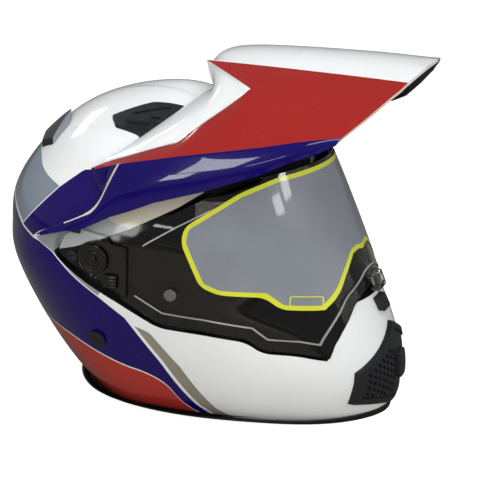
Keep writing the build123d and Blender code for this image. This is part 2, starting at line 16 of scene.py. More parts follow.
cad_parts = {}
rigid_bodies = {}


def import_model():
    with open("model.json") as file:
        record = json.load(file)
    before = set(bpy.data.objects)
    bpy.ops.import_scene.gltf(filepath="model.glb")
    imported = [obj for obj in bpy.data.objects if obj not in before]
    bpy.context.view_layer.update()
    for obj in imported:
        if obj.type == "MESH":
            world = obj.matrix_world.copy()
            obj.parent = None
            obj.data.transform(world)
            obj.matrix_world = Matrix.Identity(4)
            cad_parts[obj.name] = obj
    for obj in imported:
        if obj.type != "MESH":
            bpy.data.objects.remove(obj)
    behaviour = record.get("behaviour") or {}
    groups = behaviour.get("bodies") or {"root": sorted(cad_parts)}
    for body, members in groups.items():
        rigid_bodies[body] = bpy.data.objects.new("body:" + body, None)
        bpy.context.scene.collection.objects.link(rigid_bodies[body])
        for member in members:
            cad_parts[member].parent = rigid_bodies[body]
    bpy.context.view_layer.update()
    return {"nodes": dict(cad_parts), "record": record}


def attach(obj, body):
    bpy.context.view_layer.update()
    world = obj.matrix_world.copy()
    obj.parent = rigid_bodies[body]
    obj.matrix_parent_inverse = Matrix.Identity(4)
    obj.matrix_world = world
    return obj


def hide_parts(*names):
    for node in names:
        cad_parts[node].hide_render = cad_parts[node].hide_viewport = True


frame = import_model()
nodes = frame["nodes"]
print(len(nodes), "nodes loaded")

# %% [markdown]
# ## Camera
# The camera stands where the photograph was taken: on the wearer's right, a little ahead
# and above, about 1.13 m away, tilted by two degrees.

# %% Camera
MM = 0.001
camera_spot = Vector((-1.00793, -0.44589, 0.47367))
camera_target = Vector((-0.00564, -0.06864, 0.11776))
camera_roll = radians(1.96)
camera_lens = 99.67

bpy.ops.object.select_all(action="DESELECT")
bpy.ops.object.camera_add(location=camera_spot)
camera = bpy.context.object
camera.data.lens = camera_lens
camera.data.sensor_width = 36.0
aim = (camera_target - camera_spot).to_track_quat("-Z", "Y")
camera.rotation_euler = (aim @ Quaternion((0, 0, 1), camera_roll)).to_euler()
bpy.context.scene.camera = camera
bpy.context.scene.view_settings.view_transform = "Standard"
print("camera", round((camera_target - camera_spot).length, 3), "m from its target")

# %% [markdown]
# ## Selecting by place
# Operators act on what is selected, so each step first clears the selection, and then
# picks vertices, edges or faces by where they lie.


# %% Helpers for selecting and for edit mode
def take(piece):
    """Makes a piece the only selected and active object."""
    bpy.ops.object.select_all(action="DESELECT")
    piece.select_set(True)
    bpy.context.view_layer.objects.active = piece


def fresh(add, **settings):
    """The object that an add operator makes, with nothing else selected."""
    bpy.ops.object.select_all(action="DESELECT")
    add(**settings)
    return bpy.context.object


def open_mesh(piece, whole=False):
    """Enters edit mode, with the whole mesh selected where that is asked for."""
    take(piece)
    bpy.ops.object.mode_set(mode="EDIT")
    if whole:
        bpy.ops.mesh.select_all(action="SELECT")


def close_mesh():
    bpy.ops.object.mode_set(mode="OBJECT")


def middle_of(element):
    if isinstance(element, bmesh.types.BMVert):
        return element.co
    if isinstance(element, bmesh.types.BMEdge):
        return (element.verts[0].co + element.verts[1].co) / 2
    return element.calc_center_median()


def pick(piece, wanted, kind="FACE"):
    """Selects, in edit mode, the elements of one kind that pass the test."""
    bpy.ops.mesh.select_mode(type=kind)
    bpy.ops.mesh.select_all(action="DESELECT")
    mesh = bmesh.from_edit_mesh(piece.data)
    elements = {"VERT": mesh.verts, "EDGE": mesh.edges, "FACE": mesh.faces}[kind]
    found = 0
    for element in elements:
        if wanted(element):
            element.select_set(True)
            found += 1
    mesh.select_flush_mode()
    bmesh.update_edit_mesh(piece.data)
    return found


def apply_modifier(piece, kind, **settings):
    """Adds a modifier with these settings and applies it."""
    take(piece)
    bpy.ops.object.modifier_add(type=kind)
    modifier = piece.modifiers[-1]
    for name, value in settings.items():
        setattr(modifier, name, value)
    bpy.ops.object.modifier_apply(modifier=modifier.name)


def settle(piece, name):
    """Names a piece and puts its place into its mesh."""
    take(piece)
    bpy.ops.object.transform_apply(location=True, rotation=True, scale=True)
    piece.name = name
    piece.data.name = name
    return piece


def drop(*pieces):
    bpy.ops.object.select_all(action="DESELECT")
    for piece in pieces:
        piece.select_set(True)
    bpy.ops.object.delete()


def smooth(piece, degrees=35):
    take(piece)
    bpy.ops.object.shade_smooth_by_angle(angle=radians(degrees))


def remake_normals(piece, threshold=0.01):
    """Merges points that meet and turns all faces outwards."""
    open_mesh(piece, whole=True)
    bpy.ops.mesh.remove_doubles(threshold=threshold * MM)
    bpy.ops.mesh.normals_make_consistent(inside=False)
    close_mesh()
    return piece


# %% [markdown]
# ## Finishes
# The effects that several finishes share are node groups: a fine grain for the bumps of
# moulded plastic and rubber, dust and handling marks that make gloss uneven, and a weave.


# %% Node helpers
def srgb(code):
    """A colour as it looks, from its six hex digits, in the numbers a shader wants."""
    parts = [int(code[i : i + 2], 16) / 255 for i in (0, 2, 4)]
    return (*[p / 12.92 if p <= 0.04045 else ((p + 0.055) / 1.055) ** 2.4 for p in parts], 1.0)


def new_group(name, inputs, outputs):
    group = bpy.data.node_groups.new(name, "ShaderNodeTree")
    for label, kind, value in inputs:
        socket = group.interface.new_socket(name=label, in_out="INPUT", socket_type=kind)
        if value is not None:
            socket.default_value = value
    for label, kind in outputs:
        group.interface.new_socket(name=label, in_out="OUTPUT", socket_type=kind)
    start = group.nodes.new("NodeGroupInput")
    end = group.nodes.new("NodeGroupOutput")
    return group, start, end


def feed(tree, socket, value):
    """Links a socket to another one, or sets it to a constant or to six hex digits' colour."""
    if isinstance(value, bpy.types.NodeSocket):
        tree.links.new(value, socket)
    elif isinstance(value, str):
        socket.default_value = srgb(value)
    elif value is not None:
        socket.default_value = value


def math_node(tree, operation, first, second=None):
    node = tree.nodes.new("ShaderNodeMath")
    node.operation = operation
    feed(tree, node.inputs[0], first)
    feed(tree, node.inputs[1], second)
    return node.outputs[0]


def noise_node(tree, vector, scale, detail=2.0, roughness=0.5):
    node = tree.nodes.new("ShaderNodeTexNoise")
    for label, value in (("Vector", vector), ("Scale", scale), ("Detail", detail), ("Roughness", roughness)):
        feed(tree, node.inputs[label], value)
    return node.outputs["Fac"]


def remap(tree, value, from_low, from_high, to_low=0.0, to_high=1.0):
    """A value's place between two ends, carried over to two others and kept between them."""
    node = tree.nodes.new("ShaderNodeMapRange")
    labels = ("Value", "From Min", "From Max", "To Min", "To Max")
    for label, number in zip(labels, (value, from_low, from_high, to_low, to_high)):
        feed(tree, node.inputs[label], number)
    return node.outputs[0]


def mix_colours(tree, mask, below, above):
    """Mixes two colours, each a socket, a shader colour or six hex digits."""
    node = tree.nodes.new("ShaderNodeMix")
    node.data_type = "RGBA"
    for socket, value in (("Factor_Float", mask), ("A_Color", below), ("B_Color", above)):
        feed(tree, next(s for s in node.inputs if s.identifier == socket), value)
    return next(s for s in node.outputs if s.identifier == "Result_Color")


def drifting(tree, place, scale, first, second, detail=3.0, spread=0.1):
    """A colour that drifts softly from one tone to another."""
    share = remap(tree, noise_node(tree, place, scale, detail), 0.5 - spread, 0.5 + spread)
    return mix_colours(tree, share, first, second)


def darker(colour, share):
    return (*[c * share for c in srgb(colour)[:3]], 1.0)


# %% Shared effects: grain, dust and weave
grain_group, grain_in, grain_out = new_group(
    "fine_grain",
    [("Vector", "NodeSocketVector", None), ("Scale", "NodeSocketFloat", 900.0)],
    [("Height", "NodeSocketFloat")],
)
grain_cells = grain_group.nodes.new("ShaderNodeTexVoronoi")
grain_group.links.new(grain_in.outputs["Vector"], grain_cells.inputs["Vector"])
grain_group.links.new(grain_in.outputs["Scale"], grain_cells.inputs["Scale"])
grain_soft = noise_node(grain_group, grain_in.outputs["Vector"], 2600.0)
grain_sum = math_node(grain_group, "ADD", grain_cells.outputs["Distance"], grain_soft)
grain_group.links.new(grain_sum, grain_out.inputs["Height"])

dust_group, dust_in, dust_out = new_group(
    "dust_marks",
    [("Vector", "NodeSocketVector", None), ("Low", "NodeSocketFloat", 0.1), ("High", "NodeSocketFloat", 0.2)],
    [("Roughness", "NodeSocketFloat"), ("Specks", "NodeSocketFloat")],
)
dust_wide = noise_node(dust_group, dust_in.outputs["Vector"], 26.0, 4.0, 0.6)
dust_fine = noise_node(dust_group, dust_in.outputs["Vector"], 420.0, 3.0, 0.6)
dust_blend = math_node(dust_group, "MULTIPLY", dust_wide, dust_fine)
dust_share = remap(dust_group, dust_blend, 0.15, 0.40)
dust_span = math_node(dust_group, "SUBTRACT", dust_in.outputs["High"], dust_in.outputs["Low"])
dust_extra = math_node(dust_group, "MULTIPLY", dust_share, dust_span)
dust_rough = math_node(dust_group, "ADD", dust_extra, dust_in.outputs["Low"])
dust_specks = remap(dust_group, dust_fine, 0.62, 0.72)
dust_group.links.new(dust_rough, dust_out.inputs["Roughness"])
dust_group.links.new(dust_specks, dust_out.inputs["Specks"])

weave_group, weave_in, weave_out = new_group(
    "woven_threads",
    [("Vector", "NodeSocketVector", None), ("Scale", "NodeSocketFloat", 3000.0)],
    [("Height", "NodeSocketFloat")],
)
weave_apart = weave_group.nodes.new("ShaderNodeSeparateXYZ")
weave_group.links.new(weave_in.outputs["Vector"], weave_apart.inputs[0])
weave_waves = []
for axis, lean in ((0, 0.8), (1, -0.6)):
    leant = math_node(weave_group, "MULTIPLY", weave_apart.outputs[2], lean)
    slanted = math_node(weave_group, "ADD", weave_apart.outputs[axis], leant)
    scaled = math_node(weave_group, "MULTIPLY", slanted, weave_in.outputs["Scale"])
    weave_waves.append(math_node(weave_group, "SINE", scaled))
weave_product = math_node(weave_group, "MULTIPLY", *weave_waves)
weave_fuzz = noise_node(weave_group, weave_in.outputs["Vector"], 3500.0)
weave_height = math_node(weave_group, "ADD", weave_product, weave_fuzz)
weave_group.links.new(weave_height, weave_out.inputs["Height"])
print("groups", len(bpy.data.node_groups))


# %% A finish starts from one shader with its coordinates
def new_finish(name, **settings):
    finish = bpy.data.materials.new(name)
    finish.use_nodes = True
    tree = finish.node_tree
    shader = tree.nodes["Principled BSDF"]
    for label, value in settings.items():
        shader.inputs[label.replace("_", " ")].default_value = value
    place = tree.nodes.new("ShaderNodeTexCoord").outputs["Object"]
    return finish, tree, shader, place


def separated(tree, vector):
    node = tree.nodes.new("ShaderNodeSeparateXYZ")
    tree.links.new(vector, node.inputs[0])
    return node


def give_colour(tree, shader, colour):
    tree.links.new(colour, shader.inputs["Base Color"])


def use_group(tree, group, place, **values):
    node = tree.nodes.new("ShaderNodeGroup")
    node.node_tree = group
    tree.links.new(place, node.inputs["Vector"])
    for label, value in values.items():
        node.inputs[label].default_value = value
    return node


def add_bump(tree, shader, height, strength, depth=0.0002):
    bump = tree.nodes.new("ShaderNodeBump")
    bump.inputs["Strength"].default_value = strength
    bump.inputs["Distance"].default_value = depth
    tree.links.new(height, bump.inputs["Height"])
    tree.links.new(bump.outputs["Normal"], shader.inputs["Normal"])


def add_dust(tree, shader, place, low, high):
    dust = use_group(tree, dust_group, place, Low=low, High=high)
    tree.links.new(dust.outputs["Roughness"], shader.inputs["Roughness"])
    return dust


# %% [markdown]
# ## Lacquer
# The shell and the peak have thick clear lacquer over flat colours. Under it the tone
# drifts a little, the clear coat has a faint orange peel, and dust dulls it in places.


# %% Lacquered paint
def lacquer(name, colour, peel=0.05):
    finish, tree, shader, place = new_finish(name, Coat_Weight=1.0, Coat_Roughness=0.03, Specular_IOR_Level=0.1)
    shade = drifting(tree, place, 9.0, darker(colour, 0.94), colour)
    give_colour(tree, shader, shade)
    add_dust(tree, shader, place, 0.16, 0.30)
    add_bump(tree, shader, noise_node(tree, place, 480.0, 1.0), peel, 0.00005)
    return finish


white_lacquer = lacquer("white_lacquer", "E6E8E8")
red_lacquer = lacquer("red_lacquer", "9A1C17")
blue_lacquer = lacquer("blue_lacquer", "10005A")
edge_lacquer = lacquer("pale_edge_lacquer", "DAD2C4")
print("lacquers made")

# %% [markdown]
# ## Shell graphics
# The shell's panels are masked and sprayed: their borders are crisp lines that run at the
# same place on both sides. Each border is one curve seen from the side, and a thin white
# line is left where two colours meet.

# %% Borders of the sprayed panels, seen from the side, as (along, up) in millimetres
view_low = -220.0
view_high = 240.0
pinstripe_half = 0.55
stripe_top = 96.0

panel_top_line = [(-220, 205), (7, 200), (34, 195), (53, 180), (89, 144), (180, 60)]
grey_top_line = [(40, 176), (53, 180), (79, 187), (91, 193), (120, 200), (180, 205)]
lower_top_line = [(-220, 139), (72, 139), (89, 144), (112, 158), (140, 168), (180, 172)]
blue_front_line = [(0, -75), (15, -62), (56, -39), (91, -14), (105, 6), (118, 28), (133, 51), (139, 72),
                   (144, 66), (172, 10), (208, -4), (240, -10)]
stripe_front_line = [(0, -92), (13, -77), (53, -55), (81, -33), (86, -19), (90, -15), (170, 60)]
red_top_line = [(-100, 0), (-62, 5), (-52, 15), (-41, 34), (-28, 42), (-9, 47), (13, 54), (41, 63), (70, 68),
                (110, 74), (180, 78)]
# The painted shade below the peak's arm begins behind this line
arm_shadow_line = [(120, -2), (158, -11), (162, 4), (200, 20)]

# Two soft flutes on the crown, seen from above, as (along, across)
upper_flute_line = [(-220, 60), (-40, 27), (-23, 22), (-4, 18.9), (12, 15.6), (35, 11), (180, 0)]
lower_flute_line = [(-220, 150), (-10, 80), (18, 71.8), (41, 64.3), (70, 55), (80, 53), (180, 30)]
flute_half = 3.0

# A black brow seal runs over the visor's upper edge
brow_line = [(-220, 222), (-130, 222), (-100, 216), (-60, 206), (180, 206)]
brow_back = -62.0
brow_low = 165.0


def border(tree, apart, points, up_first=False, sharp=False, measured=None):
    """Signed distance to a border: above it, or behind it where heights come first."""
    read, along = ("Z", "Y") if up_first else ("Y", "Z")
    measured = measured or apart.outputs[along]
    spread = view_high - view_low
    share = remap(tree, apart.outputs[read], view_low * MM, view_high * MM)
    curve = tree.nodes.new("ShaderNodeFloatCurve")
    tree.links.new(share, curve.inputs["Value"])
    line = curve.mapping.curves[0]
    shares = [((a - view_low) / spread, (b - view_low) / spread) for a, b in points]
    line.points[0].location = shares[0]
    line.points[1].location = shares[-1]
    for a, b in shares[1:-1]:
        line.points.new(a, b)
    for point in line.points:
        point.handle_type = "VECTOR" if sharp else "AUTO"
    curve.mapping.use_clip = False
    curve.mapping.update()
    level = remap(tree, curve.outputs[0], 0.0, 1.0, view_low * MM, view_high * MM)
    return math_node(tree, "SUBTRACT", measured, level)


def past(tree, distance, start=0.0):
    """1 where a distance is over a start, with a clean narrow edge."""
    return remap(tree, distance, (start - 0.12) * MM, (start + 0.12) * MM)


def both(tree, *masks):
    result = masks[0]
    for mask in masks[1:]:
        result = math_node(tree, "MULTIPLY", result, mask)
    return result


def short_of(tree, distance, start=0.0):
    return math_node(tree, "SUBTRACT", 1.0, past(tree, distance, start))


# %% Shell paint
shell_paint, tree, shader, place = new_finish(
    "shell_paint", Coat_Weight=1.0, Coat_Roughness=0.03, Specular_IOR_Level=0.1
)
apart = separated(tree, place)
above_panel = border(tree, apart, panel_top_line, sharp=True)
above_grey = border(tree, apart, grey_top_line)
above_lower = border(tree, apart, lower_top_line, sharp=True)
behind_blue = border(tree, apart, blue_front_line, up_first=True, sharp=True)
behind_stripe = border(tree, apart, stripe_front_line, up_first=True, sharp=True)
above_red = border(tree, apart, red_top_line)
behind_shadow = border(tree, apart, arm_shadow_line, up_first=True)

grey_mask = both(
    tree, short_of(tree, above_grey), past(tree, above_panel, pinstripe_half), past(tree, above_lower, 1.6)
)
upper_blue = both(
    tree, short_of(tree, above_panel, -pinstripe_half), past(tree, above_lower, 0.0), past(tree, behind_blue, 1.4)
)
lower_blue = both(tree, past(tree, behind_blue, 0.0), short_of(tree, above_lower, -1.6), past(tree, above_red, 0.6))
blue_mask = math_node(tree, "MAXIMUM", upper_blue, lower_blue)
red_mask = both(tree, past(tree, behind_blue, 0.0), short_of(tree, above_red, -0.6))
above_stripe = math_node(tree, "SUBTRACT", apart.outputs["Z"], stripe_top * MM)
stripe_mask = both(
    tree, past(tree, behind_stripe), short_of(tree, behind_blue, -3.2), short_of(tree, above_stripe)
)
# Painted shade: the white below the peak's arm is painted grey, as in the arm's shadow
shadow_mask = both(
    tree, past(tree, behind_shadow), short_of(tree, above_panel, -12.0), short_of(tree, behind_blue, -2.0)
)
above_brow = border(tree, apart, brow_line)
above_low = math_node(tree, "SUBTRACT", apart.outputs["Z"], brow_low * MM)
behind_brow = math_node(tree, "SUBTRACT", apart.outputs["Y"], brow_back * MM)
brow_mask = both(tree, short_of(tree, above_brow), past(tree, above_low), short_of(tree, behind_brow))
drift = remap(tree, noise_node(tree, place, 9.0, 3.0), 0.4, 0.6, 0.95, 1.0)
paint = mix_colours(tree, shadow_mask, "E6E8E8", "8F9396")
paint = mix_colours(tree, stripe_mask, paint, "8C8578")
paint = mix_colours(tree, grey_mask, paint, "7F8894")
paint = mix_colours(tree, blue_mask, paint, "17005A")
paint = mix_colours(tree, red_mask, paint, "B0332A")
paint = mix_colours(tree, brow_mask, paint, "161616")
tint = tree.nodes.new("ShaderNodeVectorMath")
tint.operation = "SCALE"
tree.links.new(paint, tint.inputs[0])
tree.links.new(drift, tint.inputs["Scale"])
give_colour(tree, shader, tint.outputs[0])
add_dust(tree, shader, place, 0.16, 0.30)
outward = math_node(tree, "ABSOLUTE", apart.outputs["X"])
flutes = []
for line in (upper_flute_line, lower_flute_line):
    beyond = border(tree, apart, line, measured=outward)
    flutes.append(remap(tree, beyond, -flute_half * MM, flute_half * MM))
    tree.nodes[-1].interpolation_type = "SMOOTHSTEP"
fade_back = remap(tree, apart.outputs["Y"], 0.05, 0.11, 1.0, 0.0)
fade_low = remap(tree, apart.outputs["Z"], 0.19, 0.205)
fade = math_node(tree, "MULTIPLY", fade_back, fade_low)
flute_height = math_node(tree, "MULTIPLY", math_node(tree, "ADD", *flutes), fade)
add_bump(tree, shader, flute_height, 0.7, 0.0012)
flute_bump = shader.inputs["Normal"].links[0].from_node
add_bump(tree, shader, noise_node(tree, place, 480.0, 1.0), 0.05, 0.00005)
tree.links.new(flute_bump.outputs["Normal"], shader.inputs["Normal"].links[0].from_node.inputs["Normal"])
print("shell paint made")


# %% [markdown]
# ## Plastics, rubber, metal and cloth


# %% Moulded plastics and rubber
def moulded(name, colour, low, high, grain_scale, strength, **settings):
    finish, tree, shader, place = new_finish(name, **settings)
    marks = add_dust(tree, shader, place, low, high)
    pale = tuple(min(1.0, c * 2.2 + 0.01) for c in srgb(colour)[:3]) + (1.0,)
    share = math_node(tree, "MULTIPLY", marks.outputs["Specks"], 0.35)
    give_colour(tree, shader, mix_colours(tree, share, colour, pale))
    grain = use_group(tree, grain_group, place, Scale=grain_scale)
    add_bump(tree, shader, grain.outputs["Height"], strength, 0.00012)
    return finish


black_plastic = moulded("black_plastic", "1D1E21", 0.42, 0.58, 1500.0, 0.35)
gloss_black = moulded("gloss_black", "121110", 0.12, 0.25, 400.0, 0.03, Coat_Weight=0.6)
black_rubber = moulded("black_rubber", "161616", 0.45, 0.65, 1100.0, 0.2)
bead_foam = moulded("bead_foam", "232325", 0.75, 0.9, 260.0, 0.6)
bright_metal = moulded("bright_metal", "C9C9C6", 0.14, 0.3, 900.0, 0.05, Metallic=1.0)
print("plastics made")

# %% Recess lining: black moulding below one line, painted shade above it: the shell's colours darkened as under the flange
recess_line = [(-220, 240), (-96.5, 209), (-76, 196.6), (-44.5, 174.9), (-12, 157.8), (5.5, 150.5), (30, 140.5),
               (50, 134), (180, 90)]
recess_lining_and_painted_shade, tree, shader, place = new_finish(
    "recess_lining_and_painted_shade", Coat_Weight=0.5, Coat_Roughness=0.08, Specular_IOR_Level=0.25
)
apart = separated(tree, place)
above_recess = border(tree, apart, recess_line, sharp=True)
behind_shade_split = border(tree, apart, arm_shadow_line, up_first=True)
# Painted shade: above the line the recess is painted as the shell in the flange's shade, warm beige in front and grey
# behind the arm's shadow line
pale = mix_colours(tree, past(tree, behind_shade_split), "C9C2B0", "A6A9AA")
black = drifting(tree, place, 24.0, "0C0B0B", "141313")
give_colour(tree, shader, mix_colours(tree, past(tree, above_recess), black, pale))
add_dust(tree, shader, place, 0.12, 0.25)
add_bump(tree, shader, noise_node(tree, place, 300.0, 2.0), 0.05, 0.0001)

# %% Cloth of the lining and webbing of the strap
lining_cloth, tree, shader, place = new_finish("lining_cloth", Roughness=0.85, Sheen_Weight=0.25)
threads = use_group(tree, weave_group, place, Scale=4200.0)
give_colour(tree, shader, drifting(tree, place, 60.0, "1C1D20", "2B2C30", 4.0, 0.15))
add_bump(tree, shader, threads.outputs["Height"], 0.5, 0.0003)

webbing, tree, shader, place = new_finish("webbing", Roughness=0.8, Sheen_Weight=0.15)
threads = use_group(tree, weave_group, place, Scale=2600.0)
thread_share = remap(tree, threads.outputs["Height"], -0.5, 1.5)
give_colour(tree, shader, mix_colours(tree, thread_share, "0E0E0F", "2A2A2C"))
add_bump(tree, shader, threads.outputs["Height"], 0.8, 0.0004)

# %% Smoked visor and its printed film
smoke, tree, shader, place = new_finish("smoke_visor", IOR=1.45, Transmission_Weight=1.0, Coat_Weight=0.5)
give_colour(tree, shader, drifting(tree, place, 20.0, "6E6A62", "7A766C", 2.0))
add_dust(tree, shader, place, 0.0, 0.04)

# Painted highlight: the visor's ridge is pale and only partly clear, standing for the bright line of light along it
ridge_painted_highlight, tree, shader, place = new_finish("ridge_painted_highlight", IOR=1.45, Transmission_Weight=0.35, Coat_Weight=1.0)
give_colour(tree, shader, drifting(tree, place, 20.0, "A5A39E", "C9C8C4", 2.0))
add_dust(tree, shader, place, 0.1, 0.2)


def printed(name, colour):
    finish, tree, shader, place = new_finish(name, Coat_Weight=0.8, Coat_Roughness=0.06)
    tone = drifting(tree, place, 30.0, darker(colour, 0.9), colour, spread=0.15)
    give_colour(tree, shader, tone)
    add_dust(tree, shader, place, 0.3, 0.45)
    add_bump(tree, shader, noise_node(tree, place, 300.0, 2.0), 0.08, 0.0001)
    return finish


film_grey = printed("film_grey", "82868E")
film_yellow = printed("film_yellow", "D4D830")
print("materials", len(bpy.data.materials))

# %% [markdown]
# ## Which node gets which finish

# %% Finishes of the carried-over nodes
slot_finish = {
    "shell_paint": shell_paint,
    "peak_paint": red_lacquer,
    "rubber": black_rubber,
    "foam": bead_foam,
    "lining_fabric": lining_cloth,
    "black_plastic": black_plastic,
    "gloss_black": gloss_black,
    "smoke_visor": smoke,
    "visor_film": film_grey,
    "bright_pin": bright_metal,
    "webbing": webbing,
    "ring_steel": bright_metal,
}
for subpart in frame["record"]["subparts"]:
    node = nodes[subpart["node"]]
    finish = slot_finish[subpart["material_slot"]]
    for slot in node.material_slots:
        slot.material = finish
# The pivot plates carry the same painted shade above the recess line
for name in ("pivot_plate_left", "pivot_plate_right"):
    nodes[name].material_slots[0].material = recess_lining_and_painted_shade
print("finishes set")

# %% [markdown]
# ## Peak
# The peak is one thin moulding: a rounded top band, a raised red face on each side that a
# soft V-shaped step divides from the lower white arm, and a blue flange that rolls in below.
# A grid is laid on the right half for each of its fields, because their edges are the
# colour borders. Its points were placed along the edges seen in the photograph,
# and the arm's middle stays high enough for the open visor to pass below it.

# %% Peak points, right half, in millimetres: one row is one line across, from the middle down
peak_front = [
    [(0, -211, 288), (-22, -208, 285), (-42, -200, 276), (-49, -197, 272), (-57, -193, 268), (-76, -182, 256),
     (-95, -169, 243), (-97, -167, 240), (-97, -165, 237)],
    [(0, -178, 289), (-22, -176, 286), (-41, -170, 276.5), (-49, -172, 272.5), (-58, -173, 268), (-79, -166, 256),
     (-100, -156, 241), (-103, -154, 236), (-104, -152, 230)],
    [(0, -140, 288.5), (-21, -138, 285.5), (-39, -134, 276.5), (-50, -139, 272), (-61, -144, 266.5),
     (-84, -146, 252.5), (-105, -141, 239), (-109, -139, 232), (-110, -136, 224)],
    [(0, -95, 287), (-20, -95, 284.5), (-37, -93, 276.5), (-50, -103, 272), (-63, -114, 266), (-89, -119, 250.5),
     (-110, -120, 234), (-115, -118, 225), (-116.5, -114, 213)],
    [(0, -39, 283.5), (-19, -39, 281.5), (-35, -39, 276), (-50, -63, 270.5), (-65, -87, 264), (-92, -92, 249.5),
     (-114, -95, 229), (-120, -93, 216), (-121, -88, 203)],
]
peak_tail = [
    [(0, -39, 283.5), (-19, -39, 281.5), (-35, -39, 276)],
    [(0, -35, 272), (-17, -36, 269.5), (-32, -40, 264)],
    [(0, -29, 258), (-17, -34, 258), (-34, -44, 258)],
]
peak_arm = [
    [(-35, -39, 276), (-50, -63, 270.5), (-65, -87, 264), (-92, -92, 249.5), (-114, -95, 229)],
    [(-32, -40, 264), (-57.4, -56.7, 260.5), (-75, -75, 252), (-98, -77, 239), (-116, -78, 225.5)],
    [(-34, -44, 258), (-70.2, -54.9, 253.1), (-89.6, -59.4, 239.7), (-105, -57, 229), (-118, -56, 221)],
    [(-44, -33, 249), (-81.5, -44.4, 243.5), (-98.8, -43.7, 225.6), (-110, -41, 221), (-119, -39, 217)],
    [(-70, -14, 231), (-92.4, -21.7, 227.5), (-104, -24, 219), (-113, -23, 216), (-119, -22, 213)],
    [(-88, 0, 219), (-98, -5, 217), (-108, -9, 213), (-114, -8, 211), (-119, -6, 209)],
    [(-101, 14, 209), (-104, 12, 208), (-108, 10, 206.5), (-110.5, 9, 205.5), (-114, 6, 204.5)],
    [(-108, 25, 200), (-108, 24, 200), (-108.5, 23, 199.5), (-109, 22, 199.5), (-110, 21, 199)],
]
peak_lip = [
    [(-34, -44, 258), (-28, -42, 254.5), (-23, -38, 246.5)],
    [(-44, -33, 249), (-37, -30, 246.5), (-31, -28, 242.5)],
    [(-70, -14, 231), (-66, -12, 229.5), (-61, -10.5, 226.5)],
    [(-88, 0, 219), (-83, 2, 217), (-77, 4, 214.5)],
    [(-101, 14, 209), (-97, 15.5, 207.5), (-92, 17.5, 205)],
    [(-108, 25, 200), (-106, 26, 199), (-103, 27, 198)],
]
peak_seam = [
    [(-119, -6, 209), (-118.4, -4.4, 208.4), (-114, 6, 204.5)],
    [(-122.5, 3, 190), (-122, 4.6, 189.6), (-114.5, 12, 180)],
    [(-125.5, 10, 172), (-125, 11.6, 171.8), (-118.5, 15, 169)],
    [(-124.5, 38, 158), (-124, 38.6, 159), (-121, 40, 159)],
    [(-119, 65, 144.5), (-119, 65, 145), (-118.5, 65, 146)],
]
peak_gusset = [
    [(-114, 6, 204.5), (-110, 21, 199)],
    [(-114.5, 12, 180), (-104.5, 25, 189)],
]
peak_flange = [
    [(-114, -95, 229), (-120, -93, 216), (-121, -88, 203)],
    [(-116, -78, 225.5), (-122, -76, 212), (-123, -73, 197)],
    [(-118, -56, 221), (-124, -54, 206), (-125, -52, 190)],
    [(-119, -39, 217), (-125, -38, 202), (-126, -37, 185)],
    [(-119, -22, 213), (-126, -21, 197), (-127, -20, 177)],
    [(-119, -6, 209), (-126, -4, 189), (-127, -3, 170)],
    [(-122.5, 3, 190), (-127, 6, 177), (-127.5, 8, 164)],
    [(-125.5, 10, 172), (-127.5, 16, 165), (-127.5, 20, 157.5)],
    [(-124.5, 38, 158), (-125, 40, 155), (-125, 42, 151)],
    [(-119, 65, 144.5), (-119, 65.5, 143.5), (-119, 66, 142.5)],
]
peak_thickness = 2.6
peak_step = 1.6


# %% A grid primitive is laid over such points
def laid_grid(name, rows):
    """A grid whose vertices are moved, row by row, onto given points."""
    across, along = len(rows[0]), len(rows)
    grid = fresh(bpy.ops.mesh.primitive_grid_add, x_subdivisions=across - 1, y_subdivisions=along - 1, size=1.0)
    for row, points in enumerate(rows):
        for column, point in enumerate(points):
            grid.data.vertices[row * across + column].co = Vector(point) * MM
    return settle(grid, name)


def join(name, *pieces):
    bpy.ops.object.select_all(action="DESELECT")
    for piece in pieces:
        piece.select_set(True)
    bpy.context.view_layer.objects.active = pieces[0]
    bpy.ops.object.join()
    return settle(bpy.context.object, name)


def paint_faces(piece, finishes, choose):
    """Gives the piece its finishes, and each face the one that choose names for it."""
    piece.data.materials.clear()
    for finish in finishes:
        piece.data.materials.append(finish)
    for face in piece.data.polygons:
        face.material_index = choose(face)


def nearness(point, path):
    """Distance in millimetres from a point to a path of straight runs."""
    best = 1e9
    for start, end in zip(path, path[1:]):
        a, b, p = Vector(start), Vector(end), Vector(point) / MM
        share = max(0.0, min(1.0, (p - a).dot(b - a) / max((b - a).length_squared, 1e-9)))
        best = min(best, (p - a - (b - a) * share).length)
    return best


def crease(piece, paths, amount, reach=0.6):
    """Sharpens the edges that lie along given paths."""
    open_mesh(piece)
    for path in paths:
        pick(
            piece,
            lambda e: all(nearness(v.co, path) < reach for v in e.verts) and nearness(middle_of(e), path) < reach,
            "EDGE",
        )
        bpy.ops.transform.edge_crease(value=amount)
    close_mesh()


def pin_corners(piece, corners, amount=1.0):
    """Keeps smoothing from rounding the corners at these points."""
    open_mesh(piece)
    pick(piece, lambda v: any((v.co / MM - Vector(corner)).length < 0.5 for corner in corners), "VERT")
    bpy.ops.transform.vert_crease(value=amount)
    close_mesh()


# %% Peak mesh: its fields, painted and joined
WHITE, RED, BLUE, RIM, PALE = range(5)
INNER_SKIN = 6
outer_finishes = [white_lacquer, red_lacquer, blue_lacquer, white_lacquer, edge_lacquer, edge_lacquer]
peak_finishes = [*outer_finishes, black_plastic, black_plastic, black_plastic]
peak_fields = []
for rows, columns in (
    (peak_front, [WHITE, WHITE, RED, RED, RED, RED, BLUE, BLUE]),
    (peak_arm, [WHITE, WHITE, RED, RED]),
    (peak_flange, [BLUE, BLUE]),
    (peak_tail, [WHITE, WHITE]),
    (peak_lip, [WHITE, WHITE]),
    (peak_seam, [PALE, BLUE]),
    (peak_gusset, [BLUE]),
):
    field = laid_grid("peak_field", rows)
    paint_faces(field, peak_finishes, lambda face: columns[face.index % len(columns)])
    peak_fields.append(field)
peak_hood = join("peak_hood", *peak_fields)
remake_normals(peak_hood, 0.2)
print("peak faces", len(peak_hood.data.polygons))

